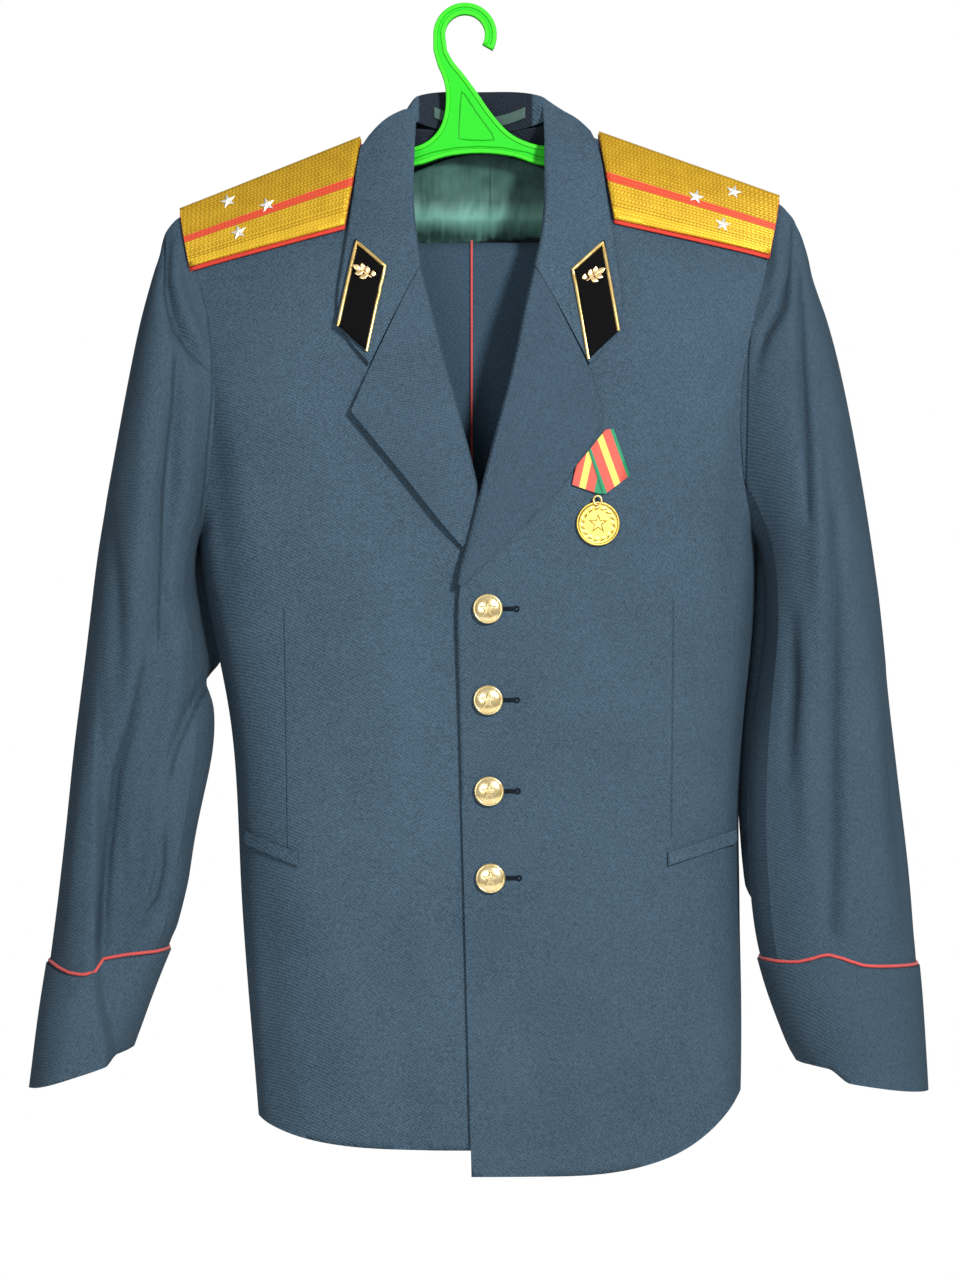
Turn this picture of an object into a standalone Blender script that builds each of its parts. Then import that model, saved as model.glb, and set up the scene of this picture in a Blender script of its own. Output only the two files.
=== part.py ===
"""A parade uniform on a hanger: a single-breasted jacket with lapels, shoulder boards,
collar tabs and a medal, over trousers that are folded across the hanger's bar.

Sizes are in millimetres here and become metres when a mesh is made. The origin is the
seat under the crown of the hanger's hook, where a rail holds it. +Z is up, and the
jacket's front faces -Y. Right and left are the wearer's, so the right side is at -X.
"""
import math
from collections import namedtuple

import bmesh
import bpy
from mathutils import Vector

MM = 0.001
JACKET_X = 11.0
CLOTH = 2.0
SEAM_GAP = 0.3
ACROSS_Y = Vector((0, 1, 0))
RIGHT = -1
LEFT = 1
FRONT = -1
BACK = 1
SIDE_NAME = {RIGHT: "right", LEFT: "left"}

# Colour, roughness and metallic value of each finish.
Finish = namedtuple("Finish", "colour roughness metallic")
FINISHES = {
    "wool": Finish((0.035, 0.075, 0.110), 0.85, 0.0),
    "lining": Finish((0.010, 0.090, 0.075), 0.35, 0.0),
    "loop": Finish((0.060, 0.110, 0.095), 0.60, 0.0),
    "piping": Finish((0.600, 0.060, 0.060), 0.70, 0.0),
    "braid": Finish((0.700, 0.420, 0.060), 0.50, 0.3),
    "felt": Finish((0.620, 0.060, 0.040), 0.80, 0.0),
    "velvet": Finish((0.006, 0.006, 0.007), 0.90, 0.0),
    "gilt": Finish((0.850, 0.600, 0.200), 0.28, 1.0),
    "silver": Finish((0.800, 0.780, 0.720), 0.35, 1.0),
    "medal": Finish((0.600, 0.420, 0.130), 0.40, 1.0),
    "ribbon": Finish((0.550, 0.070, 0.050), 0.70, 0.0),
    "hanger": Finish((0.060, 0.700, 0.050), 0.40, 0.0),
}

# The jacket's body, from the neck to the hem: half widths and depths of its sections,
# and how far the left front stands off the right one where it laps over it.
Section = namedtuple("Section", "z right left front back lap")
BODY = [
    Section(-80, 238, 238, 62, 56, 3.6),
    Section(-150, 238, 238, 62, 56, 3.6),
    Section(-195, 236, 237, 66, 58, 3.6),
    Section(-241, 233, 233, 69, 60, 3.6),
    Section(-293, 230, 226, 70, 60, 4.2),
    Section(-353, 219, 214, 70, 59, 8.2),
    Section(-402, 213, 210, 69, 58, 8.2),
    Section(-442, 206, 208, 68, 57, 6.4),
    Section(-496, 194, 203, 66, 55, 4.2),
    Section(-544, 185, 197, 64, 54, 3.6),
    Section(-604, 182, 195, 63, 53, 3.6),
    Section(-642, 181, 196, 62, 52, 3.6),
    Section(-679, 179, 196, 61, 51, 3.6),
    Section(-755, 173, 198, 59, 50, 3.6),
    Section(-811, 168, 197, 57, 49, 3.6),
    Section(-870, 164, 195, 55, 48, 3.6),
]
SECTION_POWER = 3.0
NECK_X = 50.0
SEAM_Y = 2.0
SHOULDER_ROLL = {FRONT: 190.0, BACK: 130.0}
Shoulder = namedtuple("Shoulder", "neck_z slope")
SHOULDERS = {RIGHT: Shoulder(-82.0, 0.40), LEFT: Shoulder(-80.0, 0.355)}

# Where the fronts end: the roll line of the neck opening, and the armhole, row by row.
Row = namedtuple("Row", "neck_z neck_right neck_left arm_z arm_right arm_left")
UPPER_ROWS = [
    Row(-81, 50.0, 50.0, -150, 221, 224),
    Row(-108, 50.0, 49.0, -174, 217, 219),
    Row(-135, 51.0, 49.5, -196, 213, 215),
    Row(-164, 48.5, 48.0, -219, 206, 208),
    Row(-195, 44.0, 41.0, -243, 201, 202),
    Row(-228, 36.0, 33.0, -270, 199, 197),
    Row(-264, 27.0, 27.0, -298, 198, 195),
    Row(-300, 17.0, 17.0, -328, 200, 195),
    Row(-335, 7.0, 8.0, -355, 203, 198),
    Row(-370, -1.0, -1.0, -381, 207, 203),
    Row(-403, -4.0, -9.0, -402, 212, 209),
]
ROLL_PROUD = 3.5
BREAK_Z = -435.0
BREAK_X = -17.0
FRONT_EDGE_HEM_X = -6.0
UNDERLAP_X = 26.0
LAP_FULL_X = 34.0
LAP_END_X = 120.0
LOWER_ROWS = 10
HEM_IN = {RIGHT: -849.0, LEFT: -868.0}
HEM_OUT = {RIGHT: -830.0, LEFT: -811.0}
HEM_BACK = -852.0
HEM_POWER = 5.0
FRONT_COLUMNS = [0.0, 0.1, 0.22, 0.34, 0.46, 0.58, 0.7, 0.79, 0.87, 0.93, 0.97, 1.0]
BACK_COLUMNS = [0.0, 0.115, 0.24, 0.38, 0.54, 0.70, 0.82, 0.90, 0.96, 1.0]
BACK_NECK_Z = -89.0

# Sleeve rings fan round the armpit and then run down the arm, seen from the front.
Ring = namedtuple("Ring", "out_x out_z in_x in_z half_depth centre_y")
SLEEVE_RINGS = {
    RIGHT: [
        Ring(229, 154, 214.0, 404, 46, 0),
        Ring(237, 161, 214.5, 406, 52, 0),
        Ring(243, 177, 215.0, 409, 57, 0),
        Ring(250, 205, 215.0, 413, 61, 0),
        Ring(259, 244, 215.0, 420, 64, 0),
        Ring(270, 298, 214.5, 429, 66, -1),
        Ring(282, 366, 214.0, 442, 66, -2),
        Ring(292, 436, 209.5, 466, 65, -3),
        Ring(299, 491, 201.5, 500, 62, -5),
        Ring(305, 541, 197.5, 545, 58, -8),
        Ring(310, 590, 206.0, 588, 55, -11),
        Ring(315, 645, 217.0, 638, 53, -14),
        Ring(320, 692, 227.0, 684, 51.5, -17),
    ],
    LEFT: [
        Ring(231, 146, 211.0, 404, 46, 0),
        Ring(238, 154, 212.0, 406, 52, 0),
        Ring(244, 169, 213.0, 409, 57, 0),
        Ring(252, 197, 213.5, 414, 61, 0),
        Ring(264, 239, 214.0, 421, 64, 0),
        Ring(278, 296, 214.5, 431, 66, -1),
        Ring(290, 366, 215.0, 444, 66, -2),
        Ring(300, 437, 214.5, 468, 65, -3),
        Ring(307, 491, 209.0, 500, 62, -5),
        Ring(313, 541, 203.0, 545, 58, -8),
        Ring(318, 590, 200.5, 588, 55, -11),
        Ring(323, 645, 201.5, 640, 53, -14),
        Ring(326.5, 692, 205.5, 688, 51.5, -17),
    ],
}
CUFF_RINGS = {
    RIGHT: [
        Ring(325.0, 713, 230.5, 702, 53.0, -19),
        Ring(328.5, 735, 239.0, 722, 53.0, -20),
        Ring(332.5, 765, 250.0, 750, 53.0, -22),
        Ring(337.0, 802, 259.0, 779, 53.5, -24),
    ],
    LEFT: [
        Ring(330.5, 713, 207.0, 709, 53.0, -19),
        Ring(332.5, 735, 213.0, 731, 53.0, -20),
        Ring(334.0, 765, 223.0, 758, 53.0, -22),
        Ring(336.0, 807, 236.0, 792, 53.5, -24),
    ],
}
CUFF_TUCK = 2.7
TUCKED_RINGS = 2
ARMHOLE_BLEND = [0.9, 0.7, 0.45, 0.22, 0.08]
ARM_GAP = 0.6
# Long folds pressed into each sleeve: where round the ring, and how deep and wide.
Fold = namedtuple("Fold", "angle_top angle_end z_top z_end depth width")
SLEEVE_FOLDS = {
    RIGHT: [
        Fold(112, 92, -250, -830, 9.0, 15),
        Fold(60, 75, -230, -420, 4.0, 16),
        Fold(250, 262, -420, -700, 5.0, 22),
    ],
    LEFT: [
        Fold(118, 108, -250, -700, 6.0, 16),
        Fold(58, 70, -230, -400, 4.0, 16),
        Fold(252, 262, -400, -700, 5.0, 22),
    ],
}
# The under sleeve's first and last points round a ring. The top sleeve has the rest.
UNDER_SLEEVE_FROM = 8
UNDER_SLEEVE_TO = 16

# Collar: where it is sewn, the way its fall faces, its stand, and where the fall ends.
Station = namedtuple("Station", "x z out tilt stand edge_x edge_z")
COLLAR = [
    Station(0, -88.4, 90, 0, 32, 0, -112),
    Station(20, -87.6, 100, 0, 31, 26, -112),
    Station(36, -85.4, 118, 0, 27, 52, -109),
    Station(47, -82.0, 145, 0, 20, 73, -101),
    Station(51, -80.8, 178, 10, 12, 84, -92),
    Station(53.5, -90, 210, 40, 7, 88, -106),
    Station(53.5, -108, 240, 65, 4.6, 91, -126),
    Station(54, -128, 262, 85, 3.6, 93, -146),
    Station(52.5, -150, 270, 90, 3.2, 96, -168),
    Station(49.5, -172, 270, 90, 3.2, 101, -203),
    Station(47.0, -184, 270, 90, 3.2, 107, -241),
    Station(44.0, -196, 270, 90, 3.2, 80, -270),
]
FALL_STEPS = [0.28, 0.52, 0.76, 1.0]
FALL_LIFT = 4.4
FALL_THICK = 1.8

# Lapels: the height on the roll line, and the outer edge that lies on the chest.
Leaf = namedtuple("Leaf", "roll_z edge_x edge_z")
LAPELS = {
    RIGHT: [
        Leaf(-197.2, -80.0, -271.2),
        Leaf(-216, -87.0, -288),
        Leaf(-238, -94.0, -304),
        Leaf(-275, -77.0, -325),
        Leaf(-312, -58.0, -348),
        Leaf(-345, -42.0, -368),
        Leaf(-375, -28.0, -386),
        Leaf(-400, -12.0, -404),
    ],
    LEFT: [
        Leaf(-197.2, 80.0, -271.2),
        Leaf(-216, 86.0, -290),
        Leaf(-236, 92.0, -310),
        Leaf(-274, 79.0, -331),
        Leaf(-312, 64.0, -354),
        Leaf(-348, 46.0, -374),
        Leaf(-380, 30.0, -390),
        Leaf(-405, 12.0, -408),
        Leaf(-424, -3.0, -424),
    ],
}
LAPEL_STEPS = [0.2, 0.45, 0.72, 1.0]
LAPEL_LIFT = 3.4

# Shoulder boards: inner and outer ends at the ridge and at the lower edge.
BOARD_IN = (90.0, 100.5)
BOARD_OUT = (222.0, 214.0)
BOARD_DEPTH_IN = 64.0
BOARD_DEPTH_OUT = 47.0
BOARD_OVER_RIDGE = 5.0
BOARD_ROWS = [-1.0, 0.0, 0.12, 0.28, 0.46, 0.64, 0.82, 1.0]
FELT_LIFT = 3.2
FELT_THICK = 1.2
BRAID_LIFT = 6.5
BRAID_THICK = 2.0
FELT_MARGIN = 1.6
STAR_RADIUS = 6.5
STAR_HEIGHT = 1.6
BOARD_LEAN_ADD = 3.6
Place = namedtuple("Place", "x z")
BOARD_STARS = {
    RIGHT: [Place(-190, -144), Place(-159, -146), Place(-182, -168)],
    LEFT: [Place(192, -137), Place(162, -140), Place(184, -162)],
}

# Collar tabs: a velvet parallelogram in a metal frame with a small gilt sprig.
TAB_CORNERS = {
    RIGHT: [Place(-91, -177), Place(-70, -196), Place(-83, -260), Place(-104, -241)],
    LEFT: [Place(91, -178), Place(69, -199), Place(80, -266), Place(102, -245)],
}
TAB_LIFT = 6.8
TAB_THICK = 1.2
TAB_FRAME_RADIUS = 1.3
SPRIG_DOWN = 0.22
SPRIG_LENGTH = 17.0

BUTTONS = [Place(6.0, -449), Place(6.3, -516), Place(7.0, -583), Place(8.0, -647)]
BUTTON_RADIUS = 11.0
BUTTON_HEIGHT = 5.6

# Medal: a folded ribbon block that shows beside the lapel, a ring and a disc.
RIBBON = [Place(92.0, -317.5), Place(98.0, -317.0), Place(110.0, -351.0), Place(92.0, -364.5),
          Place(86.0, -364.5), Place(67.5, -358.0), Place(70.5, -344.0), Place(80.0, -333.0)]
RIBBON_THICK = 1.6
MEDAL_DISC = Place(86.5, -386.5)
MEDAL_RADIUS = 16.3
MEDAL_THICK = 2.4
RING_RADIUS = 3.4
RING_WIRE = 0.7

# Pocket welts, from the side seam towards the front dart.
Welt = namedtuple("Welt", "side_x side_z dart_x dart_z")
WELTS = {RIGHT: Welt(-174, -620, -134, -634), LEFT: Welt(188, -619, 139, -634)}
WELT_HEIGHT = 10.0
WELT_THICK = 1.4

PIPING_RADIUS = 1.4
PIPING_SIDES = 2

# Lining of the upper back, and the hanging loop at the back of the neck.
LINING_ROWS = [-101, -112, -130, -150, -175, -205, -240, -280]
LINING_HALF = 112.0
LINING_BELOW = 34.0
LINING_INSET = 4.6
LINING_THICK = 1.0
LOOP_HALF = 37.0
LOOP_LOW = 8.0
LOOP_HIGH = 13.0
LOOP_WIDTH = 8.0
LOOP_THICK = 1.2

# Trousers folded over the bar: half widths at each height, in front and behind.
BAR_Z = -185.0
BAR_RADIUS = 4.0
BAR_HALF = 158.0
STACK_THICK = 7.0
LEG_THICK = 2.0
TROUSER_X = -6.0
Drop = namedtuple("Drop", "z front back")
TROUSER_DROPS = [
    Drop(-185, 122, 122),
    Drop(-240, 121, 124),
    Drop(-310, 119, 128),
    Drop(-390, 116, 132),
    Drop(-470, 113, 137),
    Drop(-550, 110, 141),
    Drop(-640, 108, 145),
]
LEG_FRONT_END = -636.0
FOLDS_FRONT_END = -628.0
TROUSER_BACK_END = -655.0
FOLDS_NARROWER = 3.0
FOLD_LAYERS = 3
FOLD_STEP = 2.0
WAIST_HALF = 146.0
WAISTBAND_HEIGHT = 38.0
TROUSER_PIPING_RADIUS = 1.1
TROUSER_PIPING_SHORT = 3.0
TROUSER_COLUMNS = 7
ARC_STEPS = 6

# Hanger: a hook, a web and two arms. The neck is drawn down its right edge and up its left.
HANGER_Y = SEAM_Y
HOOK_CENTRE = Place(-11.0, -15.0)
HOOK_INNER = 15.0
HOOK_STROKE = 9.0
HOOK_TIP_DEGREES = -30
HOOK_STEP_DEGREES = 15
NECK_DOWN = [(-35, -26), (-32, -37), (-27.5, -48), (-25.5, -60), (-26.5, -75), (-31, -87),
             (-40, -96), (-52, -100)]
NECK_UP = [(50, -99), (33, -95), (20, -87), (8, -73), (-1, -60), (-12, -45), (-19.5, -36),
           (-24.5, -27)]
WEB_FOOT = [(-49, -114), (-25, -107), (0, -104.5), (25, -107), (49, -114)]
ARM_TOP = [66, 100, 135]
ARM_UNDER = [70, 100, 135]
HANGER_THICK = 6.4
HANGER_BEVEL = 2.6
ARM_END = 166.0
ARM_NOSE = 3.0
ARM_DEPTH = 13.0
BAR_BEND = 9.0
BAR_POST_GAP = 2.1
ARM_CLEAR = 7.6


def mix(a, b, share):
    return a + (b - a) * share


def clamp(value):
    return max(0.0, min(1.0, value))


def along(table, key, column, at="z"):
    """Read a column of a table between its rows, at a height."""
    rows = sorted(table, key=lambda row: getattr(row, at))
    if key <= getattr(rows[0], at):
        return getattr(rows[0], column)
    for low, high in zip(rows, rows[1:]):
        if key <= getattr(high, at):
            share = (key - getattr(low, at)) / (getattr(high, at) - getattr(low, at))
            return mix(getattr(low, column), getattr(high, column), share)
    return getattr(rows[-1], column)


def side_of(x):
    return LEFT if x > 0 else RIGHT


def shoulder_z(x):
    """Height of the shoulder seam's line above a place across the jacket."""
    shoulder = SHOULDERS[side_of(x)]
    return shoulder.neck_z - shoulder.slope * (abs(x) - NECK_X)


def body_y(x, z, face):
    """Depth of the jacket's outer surface at a place seen from the front."""
    width = along(BODY, z, SIDE_NAME[side_of(x)])
    depth = along(BODY, z, "front" if face == FRONT else "back")
    roundness = max(0.0, 1.0 - min(abs(x) / width, 1.0) ** SECTION_POWER) ** 0.5
    drop = clamp((shoulder_z(x) - z) / SHOULDER_ROLL[face])
    rise = drop * (2.0 - drop)
    return SEAM_Y * (1.0 - rise) + face * depth * roundness * rise


def front_y(x, z, side):
    """Depth of a front's outer surface; the left front laps over the right one."""
    lap = 0.0
    if side == LEFT:
        lap = along(BODY, z, "lap") * clamp((LAP_END_X - x) / (LAP_END_X - LAP_FULL_X))
    return body_y(x, z, FRONT) - lap


def front_point(x, z, side, lift=0.0):
    """A point on a front, moved out along the surface's own normal by a lift."""
    step = 2.0
    y = front_y(x, z, side)
    slope_x = (front_y(x + step, z, side) - front_y(x - step, z, side)) / (2 * step)
    slope_z = (front_y(x, z + step, side) - front_y(x, z - step, side)) / (2 * step)
    normal = Vector((slope_x, -1.0, slope_z)).normalized()
    return Vector((x, y, z)) + normal * lift


def grid_normals(grid, ring=False):
    """Normals of a grid of points, from the differences between neighbours."""
    rows = len(grid)
    columns = len(grid[0])
    normals = []
    for j in range(rows):
        line = []
        for i in range(columns):
            if ring:
                before = grid[j][(i - 1) % columns]
                after = grid[j][(i + 1) % columns]
            else:
                before = grid[j][max(i - 1, 0)]
                after = grid[j][min(i + 1, columns - 1)]
            above = grid[max(j - 1, 0)][i]
            below = grid[min(j + 1, rows - 1)][i]
            line.append((after - before).cross(below - above).normalized())
        normals.append(line)
    return normals


def finish(name, bm, finish_name, smooth=True):
    """Turn a mesh in millimetres into an object with its material."""
    bmesh.ops.scale(bm, vec=(MM, MM, MM), verts=bm.verts)
    bmesh.ops.recalc_face_normals(bm, faces=bm.faces)
    mesh = bpy.data.meshes.new(name)
    bm.to_mesh(mesh)
    bm.free()
    if smooth:
        mesh.shade_smooth()
        mesh.set_sharp_from_angle(angle=math.radians(40))
    obj = bpy.data.objects.new(name, mesh)
    bpy.context.collection.objects.link(obj)
    obj.data.materials.append(material(finish_name))
    return obj


def material(name):
    """A Principled material for one finish, made once."""
    if name in bpy.data.materials:
        return bpy.data.materials[name]
    made = bpy.data.materials.new(name)
    made.use_nodes = True
    shader = made.node_tree.nodes["Principled BSDF"]
    shader.inputs["Base Color"].default_value = (*FINISHES[name].colour, 1.0)
    shader.inputs["Roughness"].default_value = FINISHES[name].roughness
    shader.inputs["Metallic"].default_value = FINISHES[name].metallic
    return made


def wall(name, grid, thickness, finish_name, outward, ring=False, edges=None, layers=1,
         step_in=0.0):
    """A closed cloth wall: a grid of outer points, given a thickness inwards.

    outward is a direction that the outer face looks to at the grid's middle, or None
    for a ring, whose outer face looks away from its own axis. edges maps top, bottom,
    first and last to the direction across a seam, which the wall's thickness keeps clear
    of, and to the first row that this holds for. layers cuts the side edges into leaves
    that step in and out.
    """
    normals = grid_normals(grid, ring)
    rows = len(grid)
    columns = len(grid[0])
    mid_row = rows // 2
    if ring:
        centre = sum(grid[mid_row], Vector()) / columns
        outward = grid[mid_row][0] - centre
        flip = normals[mid_row][0].dot(outward) < 0
    else:
        flip = normals[mid_row][columns // 2].dot(Vector(outward)) < 0
    for j in range(rows):
        for i in range(columns):
            if flip:
                normals[j][i] = -normals[j][i]
    for place, (across, from_row) in (edges or {}).items():
        across = Vector(across).normalized()
        for j in range(from_row, rows):
            for i in range(columns):
                on_edge = {"top": j == 0, "bottom": j == rows - 1,
                           "first": i == 0, "last": i == columns - 1}[place]
                if on_edge:
                    normal = normals[j][i] - across * normals[j][i].dot(across)
                    normals[j][i] = normal.normalized()
    bm = bmesh.new()
    sheets = []
    for layer in range(layers + 1):
        inset = thickness * layer / layers
        sheet = []
        for j in range(rows):
            line = []
            for i in range(columns):
                point = grid[j][i] - normals[j][i] * inset
                if layer % 2 and i in (0, columns - 1):
                    point = point + Vector((step_in if i == 0 else -step_in, 0, 0))
                line.append(bm.verts.new(point))
            sheet.append(line)
        sheets.append(sheet)
    spans = columns if ring else columns - 1
    for sheet in (sheets[0], sheets[-1]):
        for j in range(rows - 1):
            for i in range(spans):
                k = (i + 1) % columns
                bm.faces.new((sheet[j][i], sheet[j][k], sheet[j + 1][k], sheet[j + 1][i]))
    for upper, lower in zip(sheets, sheets[1:]):
        for i in range(spans):
            k = (i + 1) % columns
            for j in (0, rows - 1):
                bm.faces.new((upper[j][i], upper[j][k], lower[j][k], lower[j][i]))
        if not ring:
            for j in range(rows - 1):
                for i in (0, columns - 1):
                    bm.faces.new((upper[j][i], upper[j + 1][i], lower[j + 1][i], lower[j][i]))
    return finish(name, bm, finish_name)


def shift(points):
    """Move points from the jacket's middle to the part's frame."""
    return [[point + Vector((JACKET_X, 0, 0)) for point in line] for line in points]


def tube(name, points, radius, finish_name, closed=False, sides=PIPING_SIDES):
    """A round cord along points, as a curve with filled ends."""
    curve = bpy.data.curves.new(name, "CURVE")
    curve.dimensions = "3D"
    curve.bevel_depth = radius * MM
    curve.bevel_resolution = sides
    curve.resolution_u = 1
    curve.render_resolution_u = 0
    curve.use_fill_caps = not closed
    spline = curve.splines.new("POLY")
    spline.points.add(len(points) - 1)
    for target, point in zip(spline.points, points):
        target.co = (point.x * MM, point.y * MM, point.z * MM, 1.0)
    spline.use_cyclic_u = closed
    obj = bpy.data.objects.new(name, curve)
    bpy.context.collection.objects.link(obj)
    curve.materials.append(material(finish_name))
    return obj


def plate(name, outline, place_point, lift, thickness, finish_name):
    """A flat piece with a drawn outline, laid on a surface given by a function."""
    bm = bmesh.new()
    low = [bm.verts.new(place_point(x, z, lift - thickness)) for x, z in outline]
    high = [bm.verts.new(place_point(x, z, lift)) for x, z in outline]
    bm.faces.new(low)
    bm.faces.new(high)
    for i in range(len(outline)):
        k = (i + 1) % len(outline)
        bm.faces.new((low[i], low[k], high[k], high[i]))
    return finish(name, bm, finish_name, smooth=False)


def neck_x(z, side):
    """The panel's edge at the neck opening: the roll line, less what the roll adds."""
    column = "neck_left" if side == LEFT else "neck_right"
    last = UPPER_ROWS[-1]
    value = side * along(UPPER_ROWS, z, column, at="neck_z") + side * ROLL_PROUD
    if side == LEFT and z < last.neck_z:
        value = mix(value, BREAK_X, (last.neck_z - z) / (last.neck_z - BREAK_Z))
    return value


def armhole(side):
    """Points down the front of an armhole, from the shoulder to the armpit."""
    column = "arm_left" if side == LEFT else "arm_right"
    points = []
    for j, row in enumerate(UPPER_ROWS):
        x = side * getattr(row, column)
        z = shoulder_z(x) if j == 0 else row.arm_z
        points.append((x, z))
    return points


def front_rows(side):
    """The ends of each row of a front: its inner x and z and its outer x and z."""
    rows = []
    for row, (arm_x, arm_z) in zip(UPPER_ROWS, armhole(side)):
        inner = neck_x(row.neck_z, side)
        inner_z = shoulder_z(inner) if row is UPPER_ROWS[0] else row.neck_z
        rows.append((inner, inner_z, arm_x, arm_z, 0.0))
    arm_x, arm_z = armhole(side)[-1]
    for step in range(1, LOWER_ROWS + 1):
        share = step / LOWER_ROWS
        inner_z = mix(BREAK_Z, HEM_IN[side], (step - 1) / (LOWER_ROWS - 1))
        outer_z = mix(arm_z, HEM_OUT[side], share)
        outer = side * along(BODY, outer_z, SIDE_NAME[side])
        if side == LEFT:
            inner = mix(BREAK_X, FRONT_EDGE_HEM_X, (step - 1) / (LOWER_ROWS - 1))
        else:
            inner = UNDERLAP_X
        rows.append((inner, inner_z, outer, outer_z, share))
    return rows


def make_front(side):
    """A front panel, from its edge at the opening to the armhole and the side seam."""
    grid = []
    for j, (inner, inner_z, outer, outer_z, share) in enumerate(front_rows(side)):
        line = []
        power = 1.0 + (HEM_POWER - 1.0) * share
        for u in FRONT_COLUMNS:
            x = mix(inner, outer, u)
            z = mix(inner_z, outer_z, u ** power)
            if j == 0:
                z = shoulder_z(x)
            y = front_y(x, z, side) - SEAM_GAP / 2
            line.append(Vector((x, y, z)))
        grid.append(line)
    made = shift(grid)
    armpit = len(UPPER_ROWS) - 1
    for j in range(armpit, len(grid)):
        made[j][-1].y = -SEAM_GAP / 2
    edges = {"top": (ACROSS_Y, 0), "last": (ACROSS_Y, armpit)}
    wall(f"front_{SIDE_NAME[side]}", made, CLOTH, "wool", (0, -1, 0), edges=edges)


def make_back():
    """The back, in one panel between the armholes and the side seams."""
    grid = []
    columns = [-u for u in reversed(BACK_COLUMNS[1:])] + BACK_COLUMNS
    ends = {side: front_rows(side) for side in (RIGHT, LEFT)}
    rows = len(ends[RIGHT])
    for j in range(rows):
        line = []
        centre_z = mix(BACK_NECK_Z, HEM_BACK, j / (rows - 1))
        for u in columns:
            side = LEFT if u > 0 else RIGHT
            outer, outer_z = ends[side][j][2:4]
            x = abs(u) * outer
            z = mix(centre_z, outer_z, abs(u) ** 1.6)
            if j == 0:
                curve = BACK_NECK_Z + (shoulder_z(side * NECK_X) - BACK_NECK_Z) * (x / NECK_X) ** 2
                z = curve if abs(x) < NECK_X else shoulder_z(x)
            line.append(Vector((x, body_y(x, z, BACK) + SEAM_GAP / 2, z)))
        grid.append(line)
    made = shift(grid)
    armpit = len(UPPER_ROWS) - 1
    for j in range(armpit, rows):
        made[j][0].y = SEAM_GAP / 2
        made[j][-1].y = SEAM_GAP / 2
    edges = {"top": (ACROSS_Y, 0), "first": (ACROSS_Y, armpit), "last": (ACROSS_Y, armpit)}
    wall("back", made, CLOTH, "wool", (0, 1, 0), edges=edges)


def armhole_ring(side):
    """The armhole as a ring: down its front edge and up its back edge."""
    down = armhole(side)
    ring = []
    for x, z in down:
        ring.append(Vector((x, front_y(x, z, side), z)))
    for x, z in reversed(down[1:-1]):
        ring.append(Vector((x, body_y(x, z, BACK), z)))
    ring[len(down) - 1].y = 0.0
    return ring


def fold_depth(side, degrees, z):
    """How far the sleeve's long folds press its wall in at a place."""
    total = 0.0
    for fold in SLEEVE_FOLDS[side]:
        share = clamp((fold.z_top - z) / (fold.z_top - fold.z_end))
        if share <= 0.0 or z < fold.z_end - 30:
            continue
        centre = mix(fold.angle_top, fold.angle_end, share)
        reach = math.exp(-((degrees - centre) / fold.width) ** 2)
        total += fold.depth * reach * math.sin(math.pi * clamp(0.08 + share * 0.84))
    return total


def sleeve_ring(side, ring, count):
    """Points round one ring of a sleeve, from its outer end by the front to the armpit."""
    outer = Vector((side * ring.out_x, ring.centre_y, -ring.out_z))
    inner = Vector((side * ring.in_x, ring.centre_y, -ring.in_z))
    middle = (outer + inner) / 2
    reach = (outer - inner) / 2
    points = []
    for i in range(count):
        angle = 2 * math.pi * i / count
        point = middle + reach * math.cos(angle)
        point.y -= ring.half_depth * math.sin(angle)
        press = fold_depth(side, math.degrees(angle), point.z)
        direction = (middle - point).normalized()
        points.append(point + direction * press)
    return points


def sleeve_grid(side):
    """All rings of a sleeve, the first one fitted to its armhole."""
    first = armhole_ring(side)
    count = len(first)
    top = first[0]
    pit = first[count // 2]
    middle = (top + pit) / 2
    reach = (top - pit) / 2
    plain = []
    for i in range(count):
        angle = 2 * math.pi * i / count
        point = middle + reach * math.cos(angle)
        point.y -= SLEEVE_RINGS[side][0].half_depth * 0.92 * math.sin(angle)
        plain.append(point)
    rings = list(SLEEVE_RINGS[side])
    for ring in CUFF_RINGS[side][:TUCKED_RINGS]:
        rings.append(ring._replace(out_x=ring.out_x - CUFF_TUCK, in_x=ring.in_x + CUFF_TUCK,
                                   half_depth=ring.half_depth - CUFF_TUCK))
    grid = [[point + Vector((side * ARM_GAP, 0, 0)) for point in first]]
    for index, ring in enumerate(rings):
        blend = ARMHOLE_BLEND[index] if index < len(ARMHOLE_BLEND) else 0.0
        line = sleeve_ring(side, ring, count)
        for i in range(count):
            line[i] = line[i] + (first[i] - plain[i]) * blend
        grid.append(line)
    return grid


def make_sleeve(side):
    """A two-piece sleeve: the top sleeve, and the under sleeve along the inner arm."""
    name = SIDE_NAME[side]
    grid = shift(sleeve_grid(side))
    count = len(grid[0])
    normals = grid_normals(grid, ring=True)
    for normal in normals[0]:
        normal.x = 0.0
        normal.normalize()
    under = list(range(UNDER_SLEEVE_FROM, UNDER_SLEEVE_TO + 1))
    top = list(range(UNDER_SLEEVE_TO, UNDER_SLEEVE_FROM + count + 1))
    for part, columns, outward in (("under", under, (-side, 0, 0)), ("top", top, (side, 0, 0))):
        made = []
        for line in grid:
            points = [line[i % count].copy() for i in columns]
            points[0] += (points[1] - points[0]).normalized() * SEAM_GAP / 2
            points[-1] += (points[-2] - points[-1]).normalized() * SEAM_GAP / 2
            made.append(points)
        cloth_wall(f"sleeve_{part}_{name}", made, grid, normals, columns, outward)


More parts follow.
